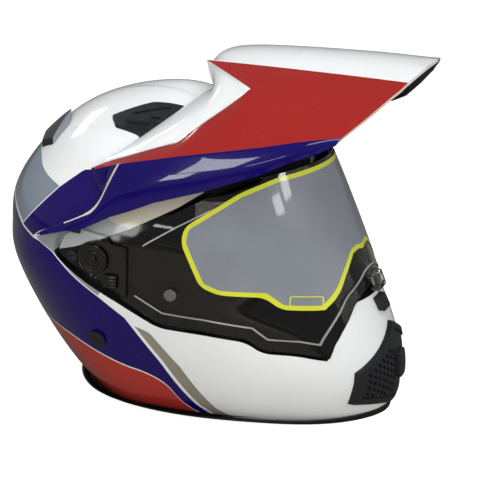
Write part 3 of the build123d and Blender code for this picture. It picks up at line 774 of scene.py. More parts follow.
# %% The step round the arm, and the creases
arm_edge = [points[0] for points in peak_arm]
lip_edge = [points[2] for points in peak_lip]
step_line = [*peak_arm[0][:3], *[points[2] for points in peak_arm[1:]]]
band_edge = [points[2] for points in peak_front]
colour_crease = [points[6] for points in peak_front] + [points[4] for points in peak_arm[1:6]]
strip_edge = [points[4] for points in peak_arm[5:]]
seam_edge = [points[0] for points in peak_flange[5:]]
lower_edge = [points[8] for points in peak_front] + [points[2] for points in peak_flange[1:]]
front_edge = peak_front[0]


def in_arm(face):
    middle = face.calc_center_median() / MM
    fields = [face.material_index == WHITE, middle.y > -75, middle.x < -34]
    return all(fields) and min(nearness(v.co, arm_edge) + nearness(v.co, lip_edge) for v in face.verts) > 3.0


open_mesh(peak_hood)
arm_count = pick(peak_hood, in_arm)
bpy.ops.mesh.inset(thickness=2.4 * MM, depth=-peak_step * MM, use_boundary=False)
close_mesh()
print("arm faces pressed in", arm_count)
crease(peak_hood, [band_edge], 0.55)
crease(peak_hood, [colour_crease, strip_edge, seam_edge], 1.0)
crease(peak_hood, [step_line], 1.0)
crease(peak_hood, [lower_edge, front_edge, arm_edge], 1.0)
arm_corners = [peak_arm[0][2], peak_arm[3][2], peak_arm[0][0], peak_arm[2][0]]
pin_corners(peak_hood, [*arm_corners, peak_flange[5][0], peak_flange[7][0]])

# %% Mirror, thickness and smoothing of the peak
apply_modifier(peak_hood, "MIRROR", use_axis=(True, False, False), merge_threshold=0.3 * MM)
remake_normals(peak_hood)
apply_modifier(
    peak_hood, "SOLIDIFY", thickness=peak_thickness * MM, offset=-1.0, edge_crease_rim=0.8,
    material_offset=INNER_SKIN, material_offset_rim=RIM,
)
gusset_edge = [points[1] for points in peak_gusset] + [points[2] for points in peak_seam[1:]]
for face in peak_hood.data.polygons:
    at = Vector((-abs(face.center.x), face.center.y, face.center.z))
    if nearness(at, gusset_edge) < 3.2:
        face.material_index = BLUE
apply_modifier(peak_hood, "SUBSURF", levels=3, render_levels=3)
smooth(peak_hood, 40)
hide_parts("peak")
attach(peak_hood, "shell")
print("peak hood", len(peak_hood.data.polygons), "faces")

# %% [markdown]
# ## Smooth forms
# Shell, recess and visor are cut from smooth egg-like forms. Each level of such a form is a
# front and a back half ellipse, so a few listed rows describe it, and a sphere whose
# rings are moved onto curves through those rows has no facets to break the gloss.

# %% Rows of the forms: height, front, back, half width, widest place, as in the solids
shell_size = (128.5 * MM, 331.0 * MM, 250.0 * MM)
shell_rows = [
    (0.00, -0.574, 0.187, 0.654, -0.048), (0.10, -0.592, 0.242, 0.809, -0.039), (0.25, -0.577, 0.323, 0.926, -0.012),
    (0.43, -0.508, 0.396, 1.000, 0.021), (0.53, -0.465, 0.408, 0.992, 0.024), (0.624, -0.426, 0.405, 0.961, 0.021),
    (0.72, -0.384, 0.372, 0.872, 0.012), (0.816, -0.317, 0.314, 0.724, -0.003), (0.904, -0.221, 0.236, 0.490, -0.012),
    (0.964, -0.125, 0.136, 0.280, -0.015), (0.992, -0.064, 0.046, 0.120, -0.016),
]
visor_rows = [
    (0.20, -0.604, 0.36, 0.930, -0.009), (0.34, -0.555, 0.37, 0.966, 0.009), (0.44, -0.520, 0.38, 0.968, 0.024),
    (0.54, -0.485, 0.38, 0.968, 0.024), (0.64, -0.4495, 0.38, 0.944, 0.018), (0.74, -0.4145, 0.37, 0.880, 0.012),
    (0.84, -0.3795, 0.35, 0.780, 0.006),
]
crown_place = -0.016


def curve_through(rows):
    """The rows with the bend at each of them, for one smooth curve through all."""
    table = np.array(rows, float)
    last = len(table) - 1
    system = np.eye(last + 1)
    bends = np.zeros_like(table)
    for i in range(1, last):
        system[i, i - 1 : i + 2] = (1, 4, 1)
        bends[i] = 6 * (table[i - 1] - 2 * table[i] + table[i + 1])
    bends = np.linalg.solve(system, bends)
    return table, bends


def point_rows(rows, count, dome):
    """The form's rings from bottom to top; a dome closes over its crown without a tip."""
    rows = [(z, front - wide, back - wide, half, wide) for z, front, back, half, wide in rows]
    given = len(rows)
    if dome:
        mirrored = [(z, -front, -back, -half, wide) for z, front, back, half, wide in reversed(rows[-3:])]
        rows = [*rows, (1.0, 0.0, 0.0, 0.0, crown_place), *mirrored]
    table, bends = curve_through(rows)
    rings = []
    for place in np.linspace(0, given if dome else given - 1, count):
        i = min(int(place), len(table) - 2)
        b = place - i
        a = 1 - b
        ring = a * table[i] + b * table[i + 1]
        ring += ((a**3 - a) * bends[i] + (b**3 - b) * bends[i + 1]) / 6
        rings.append(ring)
    return rings


def smooth_form(name, rows, grow=0.0, dome=False, rings=72, around=144):
    """A closed smooth body through the rows, larger all round by grow millimetres."""
    body = fresh(bpy.ops.mesh.primitive_uv_sphere_add, segments=around, ring_count=rings, radius=1.0)
    half_wide, long, high = shell_size
    high += grow * MM if dome else 0.0
    levels = point_rows(rows, rings, dome)
    for vertex in body.data.vertices:
        x, y, z = vertex.co
        turn = np.arctan2(y, x)
        ring = int(round((1 - np.arccos(max(-1.0, min(1.0, z))) / pi) * rings))
        pole = ring in (0, rings)
        level, front, back, half, wide = levels[min(ring, rings - 1)] if ring else levels[0]
        reach = (back if sin(turn) > 0 else -front) * long + grow * MM
        spread = half * half_wide + grow * MM
        if pole:
            reach = spread = 0.0
        vertex.co = (spread * cos(turn), wide * long + reach * sin(turn), level * high)
    return settle(body, name)


def moved_outline(outline, grow):
    """The outline with each straight run moved outward by grow, its corners kept sharp."""
    area = sum(a * d - b * c for (a, b), (c, d) in zip(outline, [*outline[1:], outline[0]]))
    side = grow if area > 0 else -grow
    moved = []
    for i, (along, up) in enumerate(outline):
        before = Vector((along - outline[i - 1][0], up - outline[i - 1][1])).normalized()
        after = outline[(i + 1) % len(outline)]
        after = Vector((after[0] - along, after[1] - up)).normalized()
        normals = Vector((before.y, -before.x)), Vector((after.y, -after.x))
        shift = (normals[0] + normals[1]) / (1 + normals[0].dot(normals[1]))
        moved.append((along + side * shift.x, up + side * shift.y))
    return moved


def side_block(name, outline, corner=0.0, grow=0.0, reach=150.0, finish=None, start=None):
    """A block with this outline, seen from the side; it runs right across, or from start."""
    block = fresh(bpy.ops.mesh.primitive_circle_add, vertices=len(outline), fill_type="NGON", radius=1.0)
    begin = -reach if start is None else start
    for vertex, (along, up) in zip(block.data.vertices, moved_outline(outline, grow)):
        vertex.co = (begin * MM, along * MM, up * MM)
    open_mesh(block, whole=True)
    bpy.ops.mesh.select_mode(type="VERT")
    if corner + grow > 0:
        bpy.ops.mesh.bevel(offset=(corner + grow) * MM, segments=6, affect="VERTICES", clamp_overlap=True)
    bpy.ops.mesh.select_all(action="SELECT")
    bpy.ops.mesh.extrude_region_move(TRANSFORM_OT_translate={"value": ((reach - begin) * MM, 0, 0)})
    bpy.ops.mesh.select_all(action="SELECT")
    bpy.ops.mesh.normals_make_consistent(inside=False)
    close_mesh()
    if finish:
        block.data.materials.append(finish)
    return settle(block, name)


def cut(piece, tool, operation="DIFFERENCE"):
    """Cuts a piece with a tool, whose finish colours the faces that it leaves."""
    apply_modifier(piece, "BOOLEAN", operation=operation, object=tool, solver="EXACT", material_mode="TRANSFER")
    drop(tool)
    return piece


def skin(name, rows, outer, inner, dome=False, finish=None):
    """The layer between two sizes of one form."""
    layer = smooth_form(name, rows, outer, dome)
    cut(layer, smooth_form("inner_form", rows, inner, dome))
    layer.data.materials.clear()
    if finish:
        layer.data.materials.append(finish)
    return layer


def shell_layer(name, outer, inner, tool, finish):
    """The part of a layer over the shell that lies inside the tool."""
    return cut(skin(name, shell_rows, outer, inner, dome=True, finish=finish), tool, "INTERSECT")


def front_block(name, outline, corner=0.0, grow=0.0, begin=-230.0, end=-60.0, finish=None):
    """A block with this outline, seen from the front, from one place along the helmet to another."""
    block = side_block(name, outline, corner, grow, end, finish, begin)
    for vertex in block.data.vertices:
        vertex.co = (vertex.co.y, vertex.co.x, vertex.co.z)
    return remake_normals(block)


def plan_block(name, outline, corner=0.0, grow=0.0, begin=150.0, end=300.0, finish=None):
    """A block with this outline, seen from above, from one height to another."""
    block = side_block(name, outline, corner, grow, end, finish, begin)
    for vertex in block.data.vertices:
        vertex.co = (vertex.co.y, vertex.co.z, vertex.co.x)
    return remake_normals(block)


def bar(name, spot, size, rotation):
    """A straight bar, in metres, turned about its own middle."""
    piece = fresh(bpy.ops.mesh.primitive_cube_add, size=1.0, location=spot, rotation=rotation)
    piece.scale = size
    return settle(piece, name)


def side_disc(name, radius, along, up, begin, end, segments=48, finish=None):
    """A disc or rod across the helmet."""
    disc = fresh(
        bpy.ops.mesh.primitive_cylinder_add, vertices=segments, radius=radius * MM, depth=abs(end - begin) * MM,
        location=((begin + end) / 2 * MM, along * MM, up * MM), rotation=(0, pi / 2, 0),
    )
    settle(disc, name)
    if finish:
        disc.data.materials.append(finish)
    return disc


def mirrored_outline(outline):
    """A front view's right half, completed to both sides."""
    return [*outline, *[(-across, up) for across, up in reversed(outline) if across > 0]]


def side_view(shares):
    return [(along * 331.0, up * 250.0) for along, up in shares]


# %% [markdown]
# ## Visor film
# The film is a printed sheet stuck on the visor: grey, with a yellow edge line and a small
# empty frame. All are cut from one thin layer over the visor's form, so borders are crisp.

# %% Film panel and its edge line
film_outline = side_view([
    (-0.725, 0.815), (-0.405, 0.806), (-0.330, 0.790), (-0.268, 0.755), (-0.198, 0.688), (-0.168, 0.660),
    (-0.164, 0.613), (-0.190, 0.540), (-0.210, 0.482), (-0.250, 0.458), (-0.343, 0.450), (-0.380, 0.411),
    (-0.456, 0.397), (-0.725, 0.380),
])
film_notch = mirrored_outline([
    (0, 132), (9, 134), (19, 133), (27, 127.5), (37, 119.5), (46, 110.5), (53, 105), (62, 99.5), (72, 92), (72, 80),
    (0, 80),
])
film_corner = 5.0
film_line = 3.4
size_box = [(-130.7, 111.7), (-150.1, 108.7), (-151.0, 102.0), (-131.3, 105.0)]
size_line = 0.8
panel_layer, border_layer, size_layer = (0.42, 0.05), (0.45, 0.05), (0.47, 0.05)


def film_block(name, line, reach):
    """The film's outline as a block, with a line's width taken off all round."""
    block = side_block(name, film_outline, film_corner, -line, reach)
    return cut(block, front_block("film_notch", film_notch, 2.0, line, begin=-240.0 - line))


film_panel = skin("film_panel", visor_rows, *panel_layer, finish=film_grey)
cut(film_panel, film_block("film_tool", film_line, 150.0), "INTERSECT")
film_border = skin("film_border", visor_rows, *border_layer, finish=film_yellow)
line_tool = cut(film_block("line_tool", 0.0, 150.0), film_block("film_tool", film_line, 152.0))
cut(film_border, line_tool, "INTERSECT")
size_frame = skin("size_frame", visor_rows, *size_layer, finish=film_yellow)
size_tool = side_block("size_tool", size_box, 1.5, size_line, start=-150.0, reach=-20.0)
cut(size_tool, side_block("size_inner", size_box, 1.5, 0.0, start=-152.0, reach=-18.0))
cut(size_frame, size_tool, "INTERSECT")
for piece in (film_panel, film_border, size_frame):
    smooth(piece)
    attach(piece, "visor")
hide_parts("visor_film")
print("film", len(film_panel.data.polygons), len(film_border.data.polygons))

# %% [markdown]
# ## Visor
# The visor is one clear smoked moulding. A border along its lower edge lies a little deeper
# than the rest, with a fine ridge that is painted pale as a highlight, and two flat ears turn on the hubs.


# %% Visor shield
pivot = (12.0, 134.0)
hub_radius = 8.6
visor_outline = side_view([
    (-0.024, 0.588), (-0.027, 0.420), (-0.121, 0.354), (-0.218, 0.342), (-0.314, 0.322), (-0.347, 0.286),
    (-0.417, 0.274), (-0.492, 0.244), (-0.725, 0.232), (-0.725, 0.824), (-0.405, 0.816), (-0.284, 0.788),
    (-0.196, 0.736), (-0.133, 0.688), (-0.073, 0.636),
])
visor_wall = 2.2
visor_corner = 4.0
visor_border = 9.0
border_depth = 0.9
ridge_width = 1.1
ridge_layer = (0.35, -0.3)
tab_layer = (5.0, -1.1)
ear_inner, ear_outer, ear_radius = 122.9, 125.1, 14.0
visor_notch = mirrored_outline([
    (0, 109), (10, 108), (21, 103.5), (37, 97), (55, 80), (62, 72), (66, 64.5), (80, 40), (0, 40),
])
tab_outline = [(-12, 102), (12, 102), (12, 113), (-12, 113)]
ear_outline = side_view([(-0.045, 0.586), (0.036, 0.598), (0.036, 0.474), (-0.045, 0.424)])
visor_shield = skin("visor_shield", visor_rows, 0.0, -visor_wall, finish=smoke)
cut(visor_shield, side_block("visor_tool", visor_outline, visor_corner), "INTERSECT")


def visor_block(name, inset, reach):
    """The visor's outline, notch and all, as a block made smaller all round."""
    block = side_block(name, visor_outline, visor_corner, -inset, reach)
    return cut(block, front_block("notch_tool", visor_notch, 2.0, inset, begin=-240.0 - inset))


border_tool = side_block("border_tool", moved_outline(visor_outline, 12.0), visor_corner, reach=152.0)
cut(border_tool, visor_block("field_tool", visor_border, 154.0))
cut(border_tool, smooth_form("deep_form", visor_rows, -border_depth))
cut(visor_shield, border_tool)
cut(visor_shield, front_block("notch_tool", visor_notch, 2.0))
for side in (-1, 1):
    inner, outer = side * ear_inner, side * ear_outer
    ear = side_block("ear", ear_outline, 2.0, reach=outer, start=inner, finish=smoke)
    cut(ear, side_disc("ear_disc", ear_radius, *pivot, inner, outer, 72, smoke), "UNION")
    cut(ear, side_disc("ear_hole", hub_radius, *pivot, side * 120.0, side * 128.0, 72, smoke))
    cut(visor_shield, ear, "UNION")
tab = skin("tab", visor_rows, *tab_layer, finish=smoke)
cut(tab, front_block("tab_tool", tab_outline, 1.0), "INTERSECT")
cut(visor_shield, tab, "UNION")
ridge_tool = visor_block("ridge_tool", visor_border, 150.0)
cut(ridge_tool, visor_block("ridge_inner", visor_border + ridge_width, 152.0))
# The ridge is painted pale as a highlight
visor_ridge = skin("visor_ridge", visor_rows, *ridge_layer, finish=ridge_painted_highlight)
cut(visor_ridge, ridge_tool, "INTERSECT")
ridge_area = side_view([(-0.8, 0.1), (-0.8, 0.9), (-0.08, 0.9), (-0.08, 0.5), (-0.045, 0.36), (-0.045, 0.1)])
cut(visor_ridge, side_block("ridge_area", ridge_area), "INTERSECT")
smooth(visor_ridge, 30)
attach(visor_ridge, "visor")
smooth(visor_shield, 30)
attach(visor_shield, "visor")
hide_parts("visor")
print("visor", len(visor_shield.data.polygons))

# %% [markdown]
# ## Shell
# The painted shell is a smooth form with a wall. A recess is cut into each side for the
# visor, and the tool that cuts it leaves the recess lining's faces: black moulding, with painted shade
# above a line under the flange. The eye port, the chin vent's hole and the holes of the strap's plugs go through.

# %% Shell body
port_outline = side_view([
    (-0.725, 0.760), (-0.302, 0.712), (-0.200, 0.672), (-0.175, 0.600),
    (-0.193, 0.472), (-0.302, 0.416), (-0.520, 0.388), (-0.725, 0.392),
])
recess_outline = side_view([
    (0.151, 0.532), (0.085, 0.484), (0.018, 0.440), (-0.021, 0.416), (-0.121, 0.344),
    (-0.218, 0.332), (-0.314, 0.312), (-0.347, 0.276), (-0.417, 0.264), (-0.483, 0.236),
    (-0.725, 0.208), (-0.725, 0.600), (-0.242, 0.640), (-0.190, 0.760), (-0.030, 0.760),
    (0.024, 0.700), (0.136, 0.600),
])
wall = 4.5
recess_depth = 6.5
recess_corner = 6.0
port_corner = 9.0
plug_radius, plug_place = 4.2, (12.0, 67.0)
rim_lift = 2.6
shell_grow = 0.15
vent_outline = mirrored_outline([(0, 75), (50.8, 46.5), (50.8, 19.5), (7.7, 9), (0, 9)])
vent_border = 5.0
shell_body = smooth_form("shell_body", shell_rows, shell_grow, dome=True)
shell_body.data.materials.append(shell_paint)
recess_tool = side_block("recess_tool", recess_outline, recess_corner, finish=recess_lining_and_painted_shade)
inner_step = smooth_form("recess_floor", shell_rows, -recess_depth, dome=True)
inner_step.data.materials.append(recess_lining_and_painted_shade)
cut(recess_tool, inner_step)
cut(recess_tool, front_block("chin_rise", visor_notch, 2.0, -1.0, begin=-245.0))
cut(shell_body, recess_tool)
hollow = smooth_form("hollow", shell_rows, -wall, dome=True)
hollow.data.materials.append(bead_foam)
back_tool = side_block("back_tool", recess_outline, recess_corner, wall)
cut(back_tool, smooth_form("recess_back", shell_rows, -recess_depth - wall, dome=True))
cut(back_tool, front_block("chin_rise", visor_notch, 2.0, -1.0 - wall, begin=-245.0))
cut(hollow, back_tool)
cut(shell_body, hollow)
cut(shell_body, side_block("port_tool", port_outline, port_corner, finish=black_rubber))
cut(shell_body, front_block("vent_tool", vent_outline, 0.0, -vent_border, begin=-250.0, finish=black_plastic))
cut(shell_body, side_disc("plug_tool", plug_radius, *plug_place, -150.0, 150.0, finish=black_plastic))
rim_outline = [(-260, -5), (200, -5), (200, rim_lift), (-260, rim_lift)]
cut(shell_body, side_block("rim_tool", rim_outline, reach=160.0, finish=bead_foam))
print("shell", len(shell_body.data.polygons))
smooth(shell_body, 30)
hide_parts("outer_shell")
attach(shell_body, "shell")

# %% [markdown]
# ## Vents
# The chin vent's screen is a net of slanted holes with black mesh behind. The crown's vents
# are low black covers with two slots each, and the outlets behind them are black with a
# grey lip in front.

# %% Chin screen
screen_outline = mirrored_outline([(0, 69), (45.5, 43.4), (45.5, 23.4), (6.5, 14.6), (0, 14.6)])
screen_height = 2.5
backing_height = 0.9
layer_foot = 0.3


def screen_layer(name, outer, finish):
    tool = front_block(f"{name}_tool", screen_outline, begin=-250.0, end=-120.0)
    return shell_layer(name, outer, layer_foot, tool, finish)


chin_screen = screen_layer("chin_screen", screen_height, black_plastic)
hole_start = (12.0, 20.5)
hole_pitch = (4.7, 5.4)
hole_bar = (2.1 * MM, 0.12, 4.3 * MM)
hole_lean = radians(35)
holes = []
for side in (-1, 1):
    for column in range(7):
        for row in range(8):
            across = side * (hole_start[0] + column * hole_pitch[0])
            up = hole_start[1] + row * hole_pitch[1] + (column % 2) * hole_pitch[1] / 2
            if up > 65 - 0.56 * abs(across) or up < 17 + 0.12 * abs(across):
                continue
            holes.append(bar("hole", (across * MM, -0.19, up * MM), hole_bar, (0, side * hole_lean, 0)))
cut(chin_screen, join("holes", *holes))
cut(chin_screen, screen_layer("screen_backing", backing_height, black_rubber), "UNION")
smooth(chin_screen, 30)
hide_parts("chin_vent_screen")
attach(chin_screen, "shell")
print("chin screen", len(chin_screen.data.polygons), "faces", len(holes), "holes")


# %% Crown vents and outlets
vent_cover = [(-41, -24), (-76, -3), (-73, 1), (-66.5, 23), (-56.5, 31), (-43, 2)]
vent_height = 1.9
rail_height = 3.3
rail_outline = [(-62, -9), (-70, -9), (-69, 14), (-62, 14)]
slots = [(-51.5, -1, 30.0, 19), (-60, -3, 17.0, 14)]
slot_width = 2.6


def vent_layer(name, side, outline, corner, outer, inner, finish):
    outline = [(-side * across, along) for across, along in outline]
    return shell_layer(name, outer, inner, plan_block(f"{name}_tool", outline, corner), finish)


for word, side in (("left", 1), ("right", -1)):
    vent = vent_layer(f"crown_vent_{word}", side, vent_cover, 1.5, vent_height, layer_foot, black_plastic)
    for across, along, length, turn in slots:
        spot = (-side * across * MM, along * MM, 0.23)
        slot = bar("slot", spot, (slot_width * MM, length * MM, 0.06), (0, 0, -side * radians(turn)))
        slot.data.materials.append(black_rubber)
        cut(vent, slot)
    cut(vent, vent_layer("vent_floor", side, vent_cover, 1.5, backing_height, layer_foot, black_rubber), "UNION")
    cut(vent, vent_layer("rail", side, rail_outline, 2.0, rail_height, 1.0, black_plastic), "UNION")
    smooth(vent, 30)
    print(word, "vent", len(vent.data.polygons), "faces")
    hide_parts(f"top_vent_{word}")
    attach(vent, "shell")

outlet, tree, shader, place = new_finish("outlet", Coat_Weight=0.4, Coat_Roughness=0.08)
apart = separated(tree, place)
lip_end = 80.0
behind_lip = math_node(tree, "SUBTRACT", apart.outputs["Y"], lip_end * MM)
dark = drifting(tree, place, 40.0, "141416", "202124")
give_colour(tree, shader, mix_colours(tree, past(tree, behind_lip), "868D97", dark))
add_dust(tree, shader, place, 0.16, 0.32)
add_bump(tree, shader, noise_node(tree, place, 480.0, 1.0), 0.05, 0.00005)
for word in ("left", "right"):
    nodes[f"rear_vent_{word}"].material_slots[0].material = outlet

# %% [markdown]
# ## Small mouldings
# Caps, screws, levers, sliders and frames keep their solids' shapes, with a small round put
# on every sharp edge, because moulded edges catch the light.


# %% Rounded edges
def copy_node(name, node):
    """A free copy of a CAD node's mesh."""
    take(nodes[node])
    bpy.ops.object.duplicate()
    piece = bpy.context.object
    bpy.ops.object.parent_clear(type="CLEAR_KEEP_TRANSFORM")
    for key in list(piece.keys()):
        del piece[key]
    return settle(piece, name)


def soften(node, body, edge):
    """Replaces a node by a copy of it whose sharp edges are rounded."""
    piece = copy_node(f"{node}_rounded", node)
    open_mesh(piece, whole=True)
    bpy.ops.mesh.remove_doubles(threshold=0.01 * MM)
    bpy.ops.mesh.dissolve_limited(angle_limit=radians(1.0))
    close_mesh()
    apply_modifier(
        piece, "BEVEL", width=edge * MM, segments=2, limit_method="ANGLE", angle_limit=radians(40),
        use_clamp_overlap=True,
    )
    smooth(piece, 35)
    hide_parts(node)
    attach(piece, body)
    return len(piece.data.polygons)


cap_rings = [(9.3, 0.35), (6.2, 0.4)]
cap_nut = (3.0, 1.6)
for word, side in (("left", 1), ("right", -1)):
    for node, body, slot, edge in (
        ("pivot_cap", "shell", "gloss_black", 0.5),
        ("side_screw", "shell", "black_plastic", 0.4),
        ("release_lever", f"release_{word}", "gloss_black", 0.35),
        ("strap_plug", "shell", "black_plastic", 0.5),
        ("top_vent_slider", f"top_slider_{word}", "black_plastic", 0.5),
        ("fog_pin", "visor", "bright_pin", 0.8),
    ):
        print(node, word, soften(f"{node}_{word}", body, edge))
    spots = [v.co.x for v in bpy.data.objects[f"pivot_cap_{word}_rounded"].data.vertices]
    face = max(spots) if side > 0 else min(spots)
    rings = []
    for radius, thick in cap_rings:
        ring = fresh(
            bpy.ops.mesh.primitive_torus_add, major_radius=radius * MM, minor_radius=thick * MM, major_segments=64,
            minor_segments=12, location=(face, pivot[0] * MM, pivot[1] * MM), rotation=(0, pi / 2, 0),
        )
        rings.append(settle(ring, "ring"))
    nut = side_disc("nut", cap_nut[0], *pivot, face / MM - cap_nut[1] / 2, face / MM + cap_nut[1] / 2, 6)
    apply_modifier(nut, "BEVEL", width=0.3 * MM, segments=2)
    detail = join(f"pivot_detail_{word}", nut, *rings)
    detail.data.materials.clear()
    detail.data.materials.append(gloss_black)
    smooth(detail, 40)
    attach(detail, "shell")
for node, body, edge in (
    ("visor_catch", "shell", 0.6), ("chin_vent_frame", "shell", 0.7), ("chin_vent_slider", "chin_slider", 0.7),
):
    print(node, soften(node, body, edge))

# %% Chin foam, kept behind the face of the smooth shell
foam_cover = 1.0
chin_foam = copy_node("chin_foam", "chin_liner")
foam_limit = smooth_form("foam_limit", shell_rows, -foam_cover, dome=True)
foam_limit.data.materials.append(bead_foam)
cut(chin_foam, foam_limit, "INTERSECT")
smooth(chin_foam, 30)
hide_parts("chin_liner")
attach(chin_foam, "shell")
print("chin foam", len(chin_foam.data.polygons), "faces")

# %% [markdown]
# ## Padding
# The pads start as slightly smaller copies of their solids. Held along their seams, they are
# blown up by a short cloth simulation, which gives cushions that are tight between the seams.

# %% Pads
pad_start = 1.6
pad_travel = 5.0


def blown_pad(name, node, cell, seams, finish, pressure=4.0):
    """A padded piece in a node's place; seams are the planes (axis, place) that hold it in."""
    pad = copy_node(name, node)
    apply_modifier(pad, "REMESH", mode="VOXEL", voxel_size=cell * MM)
    open_mesh(pad, whole=True)
    bpy.ops.transform.shrink_fatten(value=-pad_start * MM)
    close_mesh()
    held = [
        v.index
        for v in pad.data.vertices
        if any(abs(v.co[axis] / MM - place) < cell * 0.55 for axis, place in seams)
    ]
    seam_group = pad.vertex_groups.new(name="seams")
    seam_group.add(held, 1.0, "REPLACE")
    start = [v.co.copy() for v in pad.data.vertices]
    take(pad)
    bpy.ops.object.modifier_add(type="CLOTH")
    cloth = pad.modifiers[-1]
    cloth.settings.use_pressure = True
    cloth.settings.uniform_pressure_force = pressure
    cloth.settings.vertex_group_mass = "seams"
    cloth.settings.effector_weights.gravity = 0.0
    for step in range(1, 21):
        bpy.context.scene.frame_set(step)
    take(pad)
    bpy.ops.object.modifier_apply(modifier=cloth.name)
    bpy.context.scene.frame_set(1)
    for vertex, first in zip(pad.data.vertices, start):
        travel = vertex.co - first
        if travel.length > pad_travel * MM:
            vertex.co = first + travel.normalized() * pad_travel * MM
    apply_modifier(pad, "SUBSURF", levels=1, render_levels=1)
    pad.data.materials.clear()
    pad.data.materials.append(finish)
    smooth(pad, 60)
    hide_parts(node)
    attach(pad, "shell")
    print(name, len(pad.data.polygons), "faces,", len(held), "held")


for side, word in ((1, "left"), (-1, "right")):
    blown_pad(f"cheek_cushion_{word}", f"cheek_pad_{word}", 4.0, [(1, -32.0), (2, 62.0)], lining_cloth)
blown_pad("crown_cushion", "crown_pad", 5.0, [(0, -32.0), (0, 32.0), (1, 20.0)], lining_cloth)
blown_pad("neck_cushion", "neck_roll", 4.5, [(0, -50.0), (0, 0.0), (0, 50.0)], lining_cloth)

# %% [markdown]
# ## Chin strap
# Two flat webbings run down from the side plugs under the chin, where the left one holds the
# two rings. They lie with a slight wave, as used webbing does, and are sewn back near the end.

# %% Webbings
strap_width = 24.0
strap_ahead = 12.0
strap_wall = 2.2
strap_wave = 0.5
stitch_reach = 9.5
strap_route = [
    (104.3, 77), (104.3, 68), (104.2, 60), (102.5, 51), (97.5, 44), (90, 38.5), (81, 34.5), (70, 32.4),
    (60, 31), (50, 30.2), (40, 29.6),
]
strap_ends = {
    "right": [(26, 29), (14, 29), (3, 29)],
    "left": [(35, 29.6), (31, 31.4), (26.7, 32.4), (23.4, 29), (26.7, 25.6), (31, 26.4), (36, 26.8)],
}


def webbing_strip(name, route, side):
    rows = []
    for step, (across, up) in enumerate(route):
        wave = strap_wave * sin(step * 1.3 + side)
        rows.append(
            [
                (side * across, strap_ahead + strap_width * (i / 8 - 0.5), up + wave * cos(pi * i / 8))
                for i in range(9)
            ]
        )
    strip = laid_grid(name, rows)
    apply_modifier(strip, "SOLIDIFY", thickness=strap_wall * MM, offset=0.0, edge_crease_rim=0.5)
    apply_modifier(strip, "SUBSURF", levels=2, render_levels=2)
    remake_normals(strip)
    strip.data.materials.append(webbing)
    smooth(strip, 50)
    return strip


def stitch_row(start, end, count=9, size=(1.1, 0.55, 0.45)):
    """A row of short raised thread stitches."""
    stitches = []
    for i in range(count):
        spot = Vector(start).lerp(Vector(end), i / (count - 1))
        stitch = fresh(bpy.ops.mesh.primitive_uv_sphere_add, segments=8, ring_count=6, location=spot * MM)
        along = (Vector(end) - Vector(start)).normalized()
        stitch.scale = [MM * (size[0] if abs(part) > 0.5 else size[1]) for part in along[:2]] + [size[2] * MM]
        stitches.append(settle(stitch, "stitch"))
    return join("stitches", *stitches)


for word, side in (("right", -1), ("left", 1)):
    route = [*strap_route, *strap_ends[word]]
    strip = webbing_strip(f"webbing_{word}", route, side)
    near, far = strap_ahead - stitch_reach, strap_ahead + stitch_reach
    rows = [
        stitch_row((side * 44, near, 31.45), (side * 44, far, 31.45)),
        stitch_row((side * 58, near, 32.35), (side * 58, far, 32.35)),
        stitch_row((side * 44, near, 31.5), (side * 58, far, 32.4)),
    ]
    stitches = join(f"strap_stitches_{word}", *rows)
    stitches.data.materials.clear()
    stitches.data.materials.append(lining_cloth)
    smooth(stitches, 60)
    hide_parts(f"chin_strap_{word}")
    for piece in (strip, stitches):
        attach(piece, "shell")
print("straps made")

# %% [markdown]
# ## Stage
# A plain pale floor in a bright room. Three broad soft lamps light the helmet, from above,
# from the camera's side and from the front, and the small ones make the highlights that the
# gloss shows in the photograph.

# %% Floor, world and lamps
floor = settle(fresh(bpy.ops.mesh.primitive_plane_add, size=14.0, location=(0, 0, 0)), "floor")
floor_tone = (0.40, 0.385, 0.345, 1.0)
floor_glow = 0.9
glossy_dimming = 0.6
room_strength = 0.2
floor_paint, tree, shader, place = new_finish("floor_paint", Roughness=0.9)
shader.inputs["Base Color"].default_value = floor_tone
lift = tree.nodes.new("ShaderNodeEmission")
lift_sight = tree.nodes.new("ShaderNodeLightPath")
lift_seen = math_node(tree, "MAXIMUM", lift_sight.outputs["Is Camera Ray"], lift_sight.outputs["Is Transmission Ray"])
tree.links.new(math_node(tree, "MULTIPLY", lift_seen, floor_glow), lift.inputs["Strength"])
dimmed = tree.nodes.new("ShaderNodeMixShader")
tree.links.new(math_node(tree, "MULTIPLY", lift_sight.outputs["Is Glossy Ray"], glossy_dimming), dimmed.inputs[0])
tree.links.new(shader.outputs[0], dimmed.inputs[1])
lifted = tree.nodes.new("ShaderNodeAddShader")
tree.links.new(dimmed.outputs[0], lifted.inputs[0])
tree.links.new(lift.outputs[0], lifted.inputs[1])
tree.links.new(lifted.outputs[0], tree.nodes["Material Output"].inputs["Surface"])
floor.data.materials.append(floor_paint)

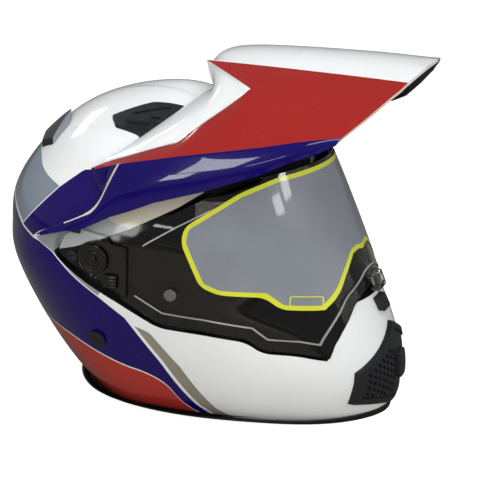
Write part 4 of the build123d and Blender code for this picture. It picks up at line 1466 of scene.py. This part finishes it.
world = bpy.data.worlds.new("pale_room")
bpy.context.scene.world = world
world.use_nodes = True
tree = world.node_tree
room = tree.nodes["Background"]
room.inputs["Color"].default_value = (0.94, 0.96, 1.0, 1.0)
room.inputs["Strength"].default_value = room_strength
backdrop = tree.nodes.new("ShaderNodeBackground")
backdrop.inputs["Color"].default_value = (1.0, 1.0, 1.0, 1.0)
backdrop.inputs["Strength"].default_value = 1.0
seen = tree.nodes.new("ShaderNodeLightPath")
blend = tree.nodes.new("ShaderNodeMixShader")
tree.links.new(seen.outputs["Is Camera Ray"], blend.inputs["Fac"])
tree.links.new(room.outputs[0], blend.inputs[1])
tree.links.new(backdrop.outputs[0], blend.inputs[2])
tree.links.new(blend.outputs[0], tree.nodes["World Output"].inputs["Surface"])


def area_lamp(name, spot, target, size, power, glossy=True):
    bpy.ops.object.light_add(type="AREA", location=spot)
    lamp = bpy.context.object
    lamp.name = name
    lamp.data.shape = "RECTANGLE"
    lamp.data.size, lamp.data.size_y = size
    lamp.data.energy = power
    lamp.visible_glossy = glossy
    lamp.rotation_euler = (Vector(target) - Vector(spot)).to_track_quat("-Z", "Y").to_euler()
    return lamp


area_lamp("ceiling_lamp", (-0.5, 0.0, 2.1), (0, -0.05, 0.12), (2.2, 2.2), 37.0, glossy=False)
area_lamp("window_lamp", (-1.8, -1.2, 0.7), (0, -0.05, 0.1), (0.9, 1.0), 21.0, glossy=False)
area_lamp("front_fill", (0.5, -1.9, 0.7), (0, -0.05, 0.1), (1.0, 0.8), 9.0, glossy=False)
area_lamp("crown_light", (0.85, 1.6, 1.3), (0, 0, 0.2), (0.42, 0.24), 2.6)
area_lamp("flange_light", (-1.5, 0.35, 0.76), (-0.117, -0.09, 0.22), (0.36, 0.4), 3.2)
area_lamp("corner_light", (-1.59, 0.53, 0.46), (-0.12, -0.05, 0.2), (0.15, 0.2), 0.7)
area_lamp("tip_light", (-1.4, -0.47, 1.12), (-0.1, -0.15, 0.24), (0.25, 0.08), 0.3)
area_lamp("visor_light", (-1.68, -0.12, 0.46), (-0.115, -0.04, 0.163), (0.4, 0.05), 0.35)
area_lamp("film_light", (-0.08, -1.56, 0.88), (-0.057, -0.114, 0.19), (0.2, 0.15), 0.9)
area_lamp("low_film_light", (-0.36, -1.55, 0.82), (-0.067, -0.114, 0.179), (0.2, 0.15), 0.9)
print("stage set")
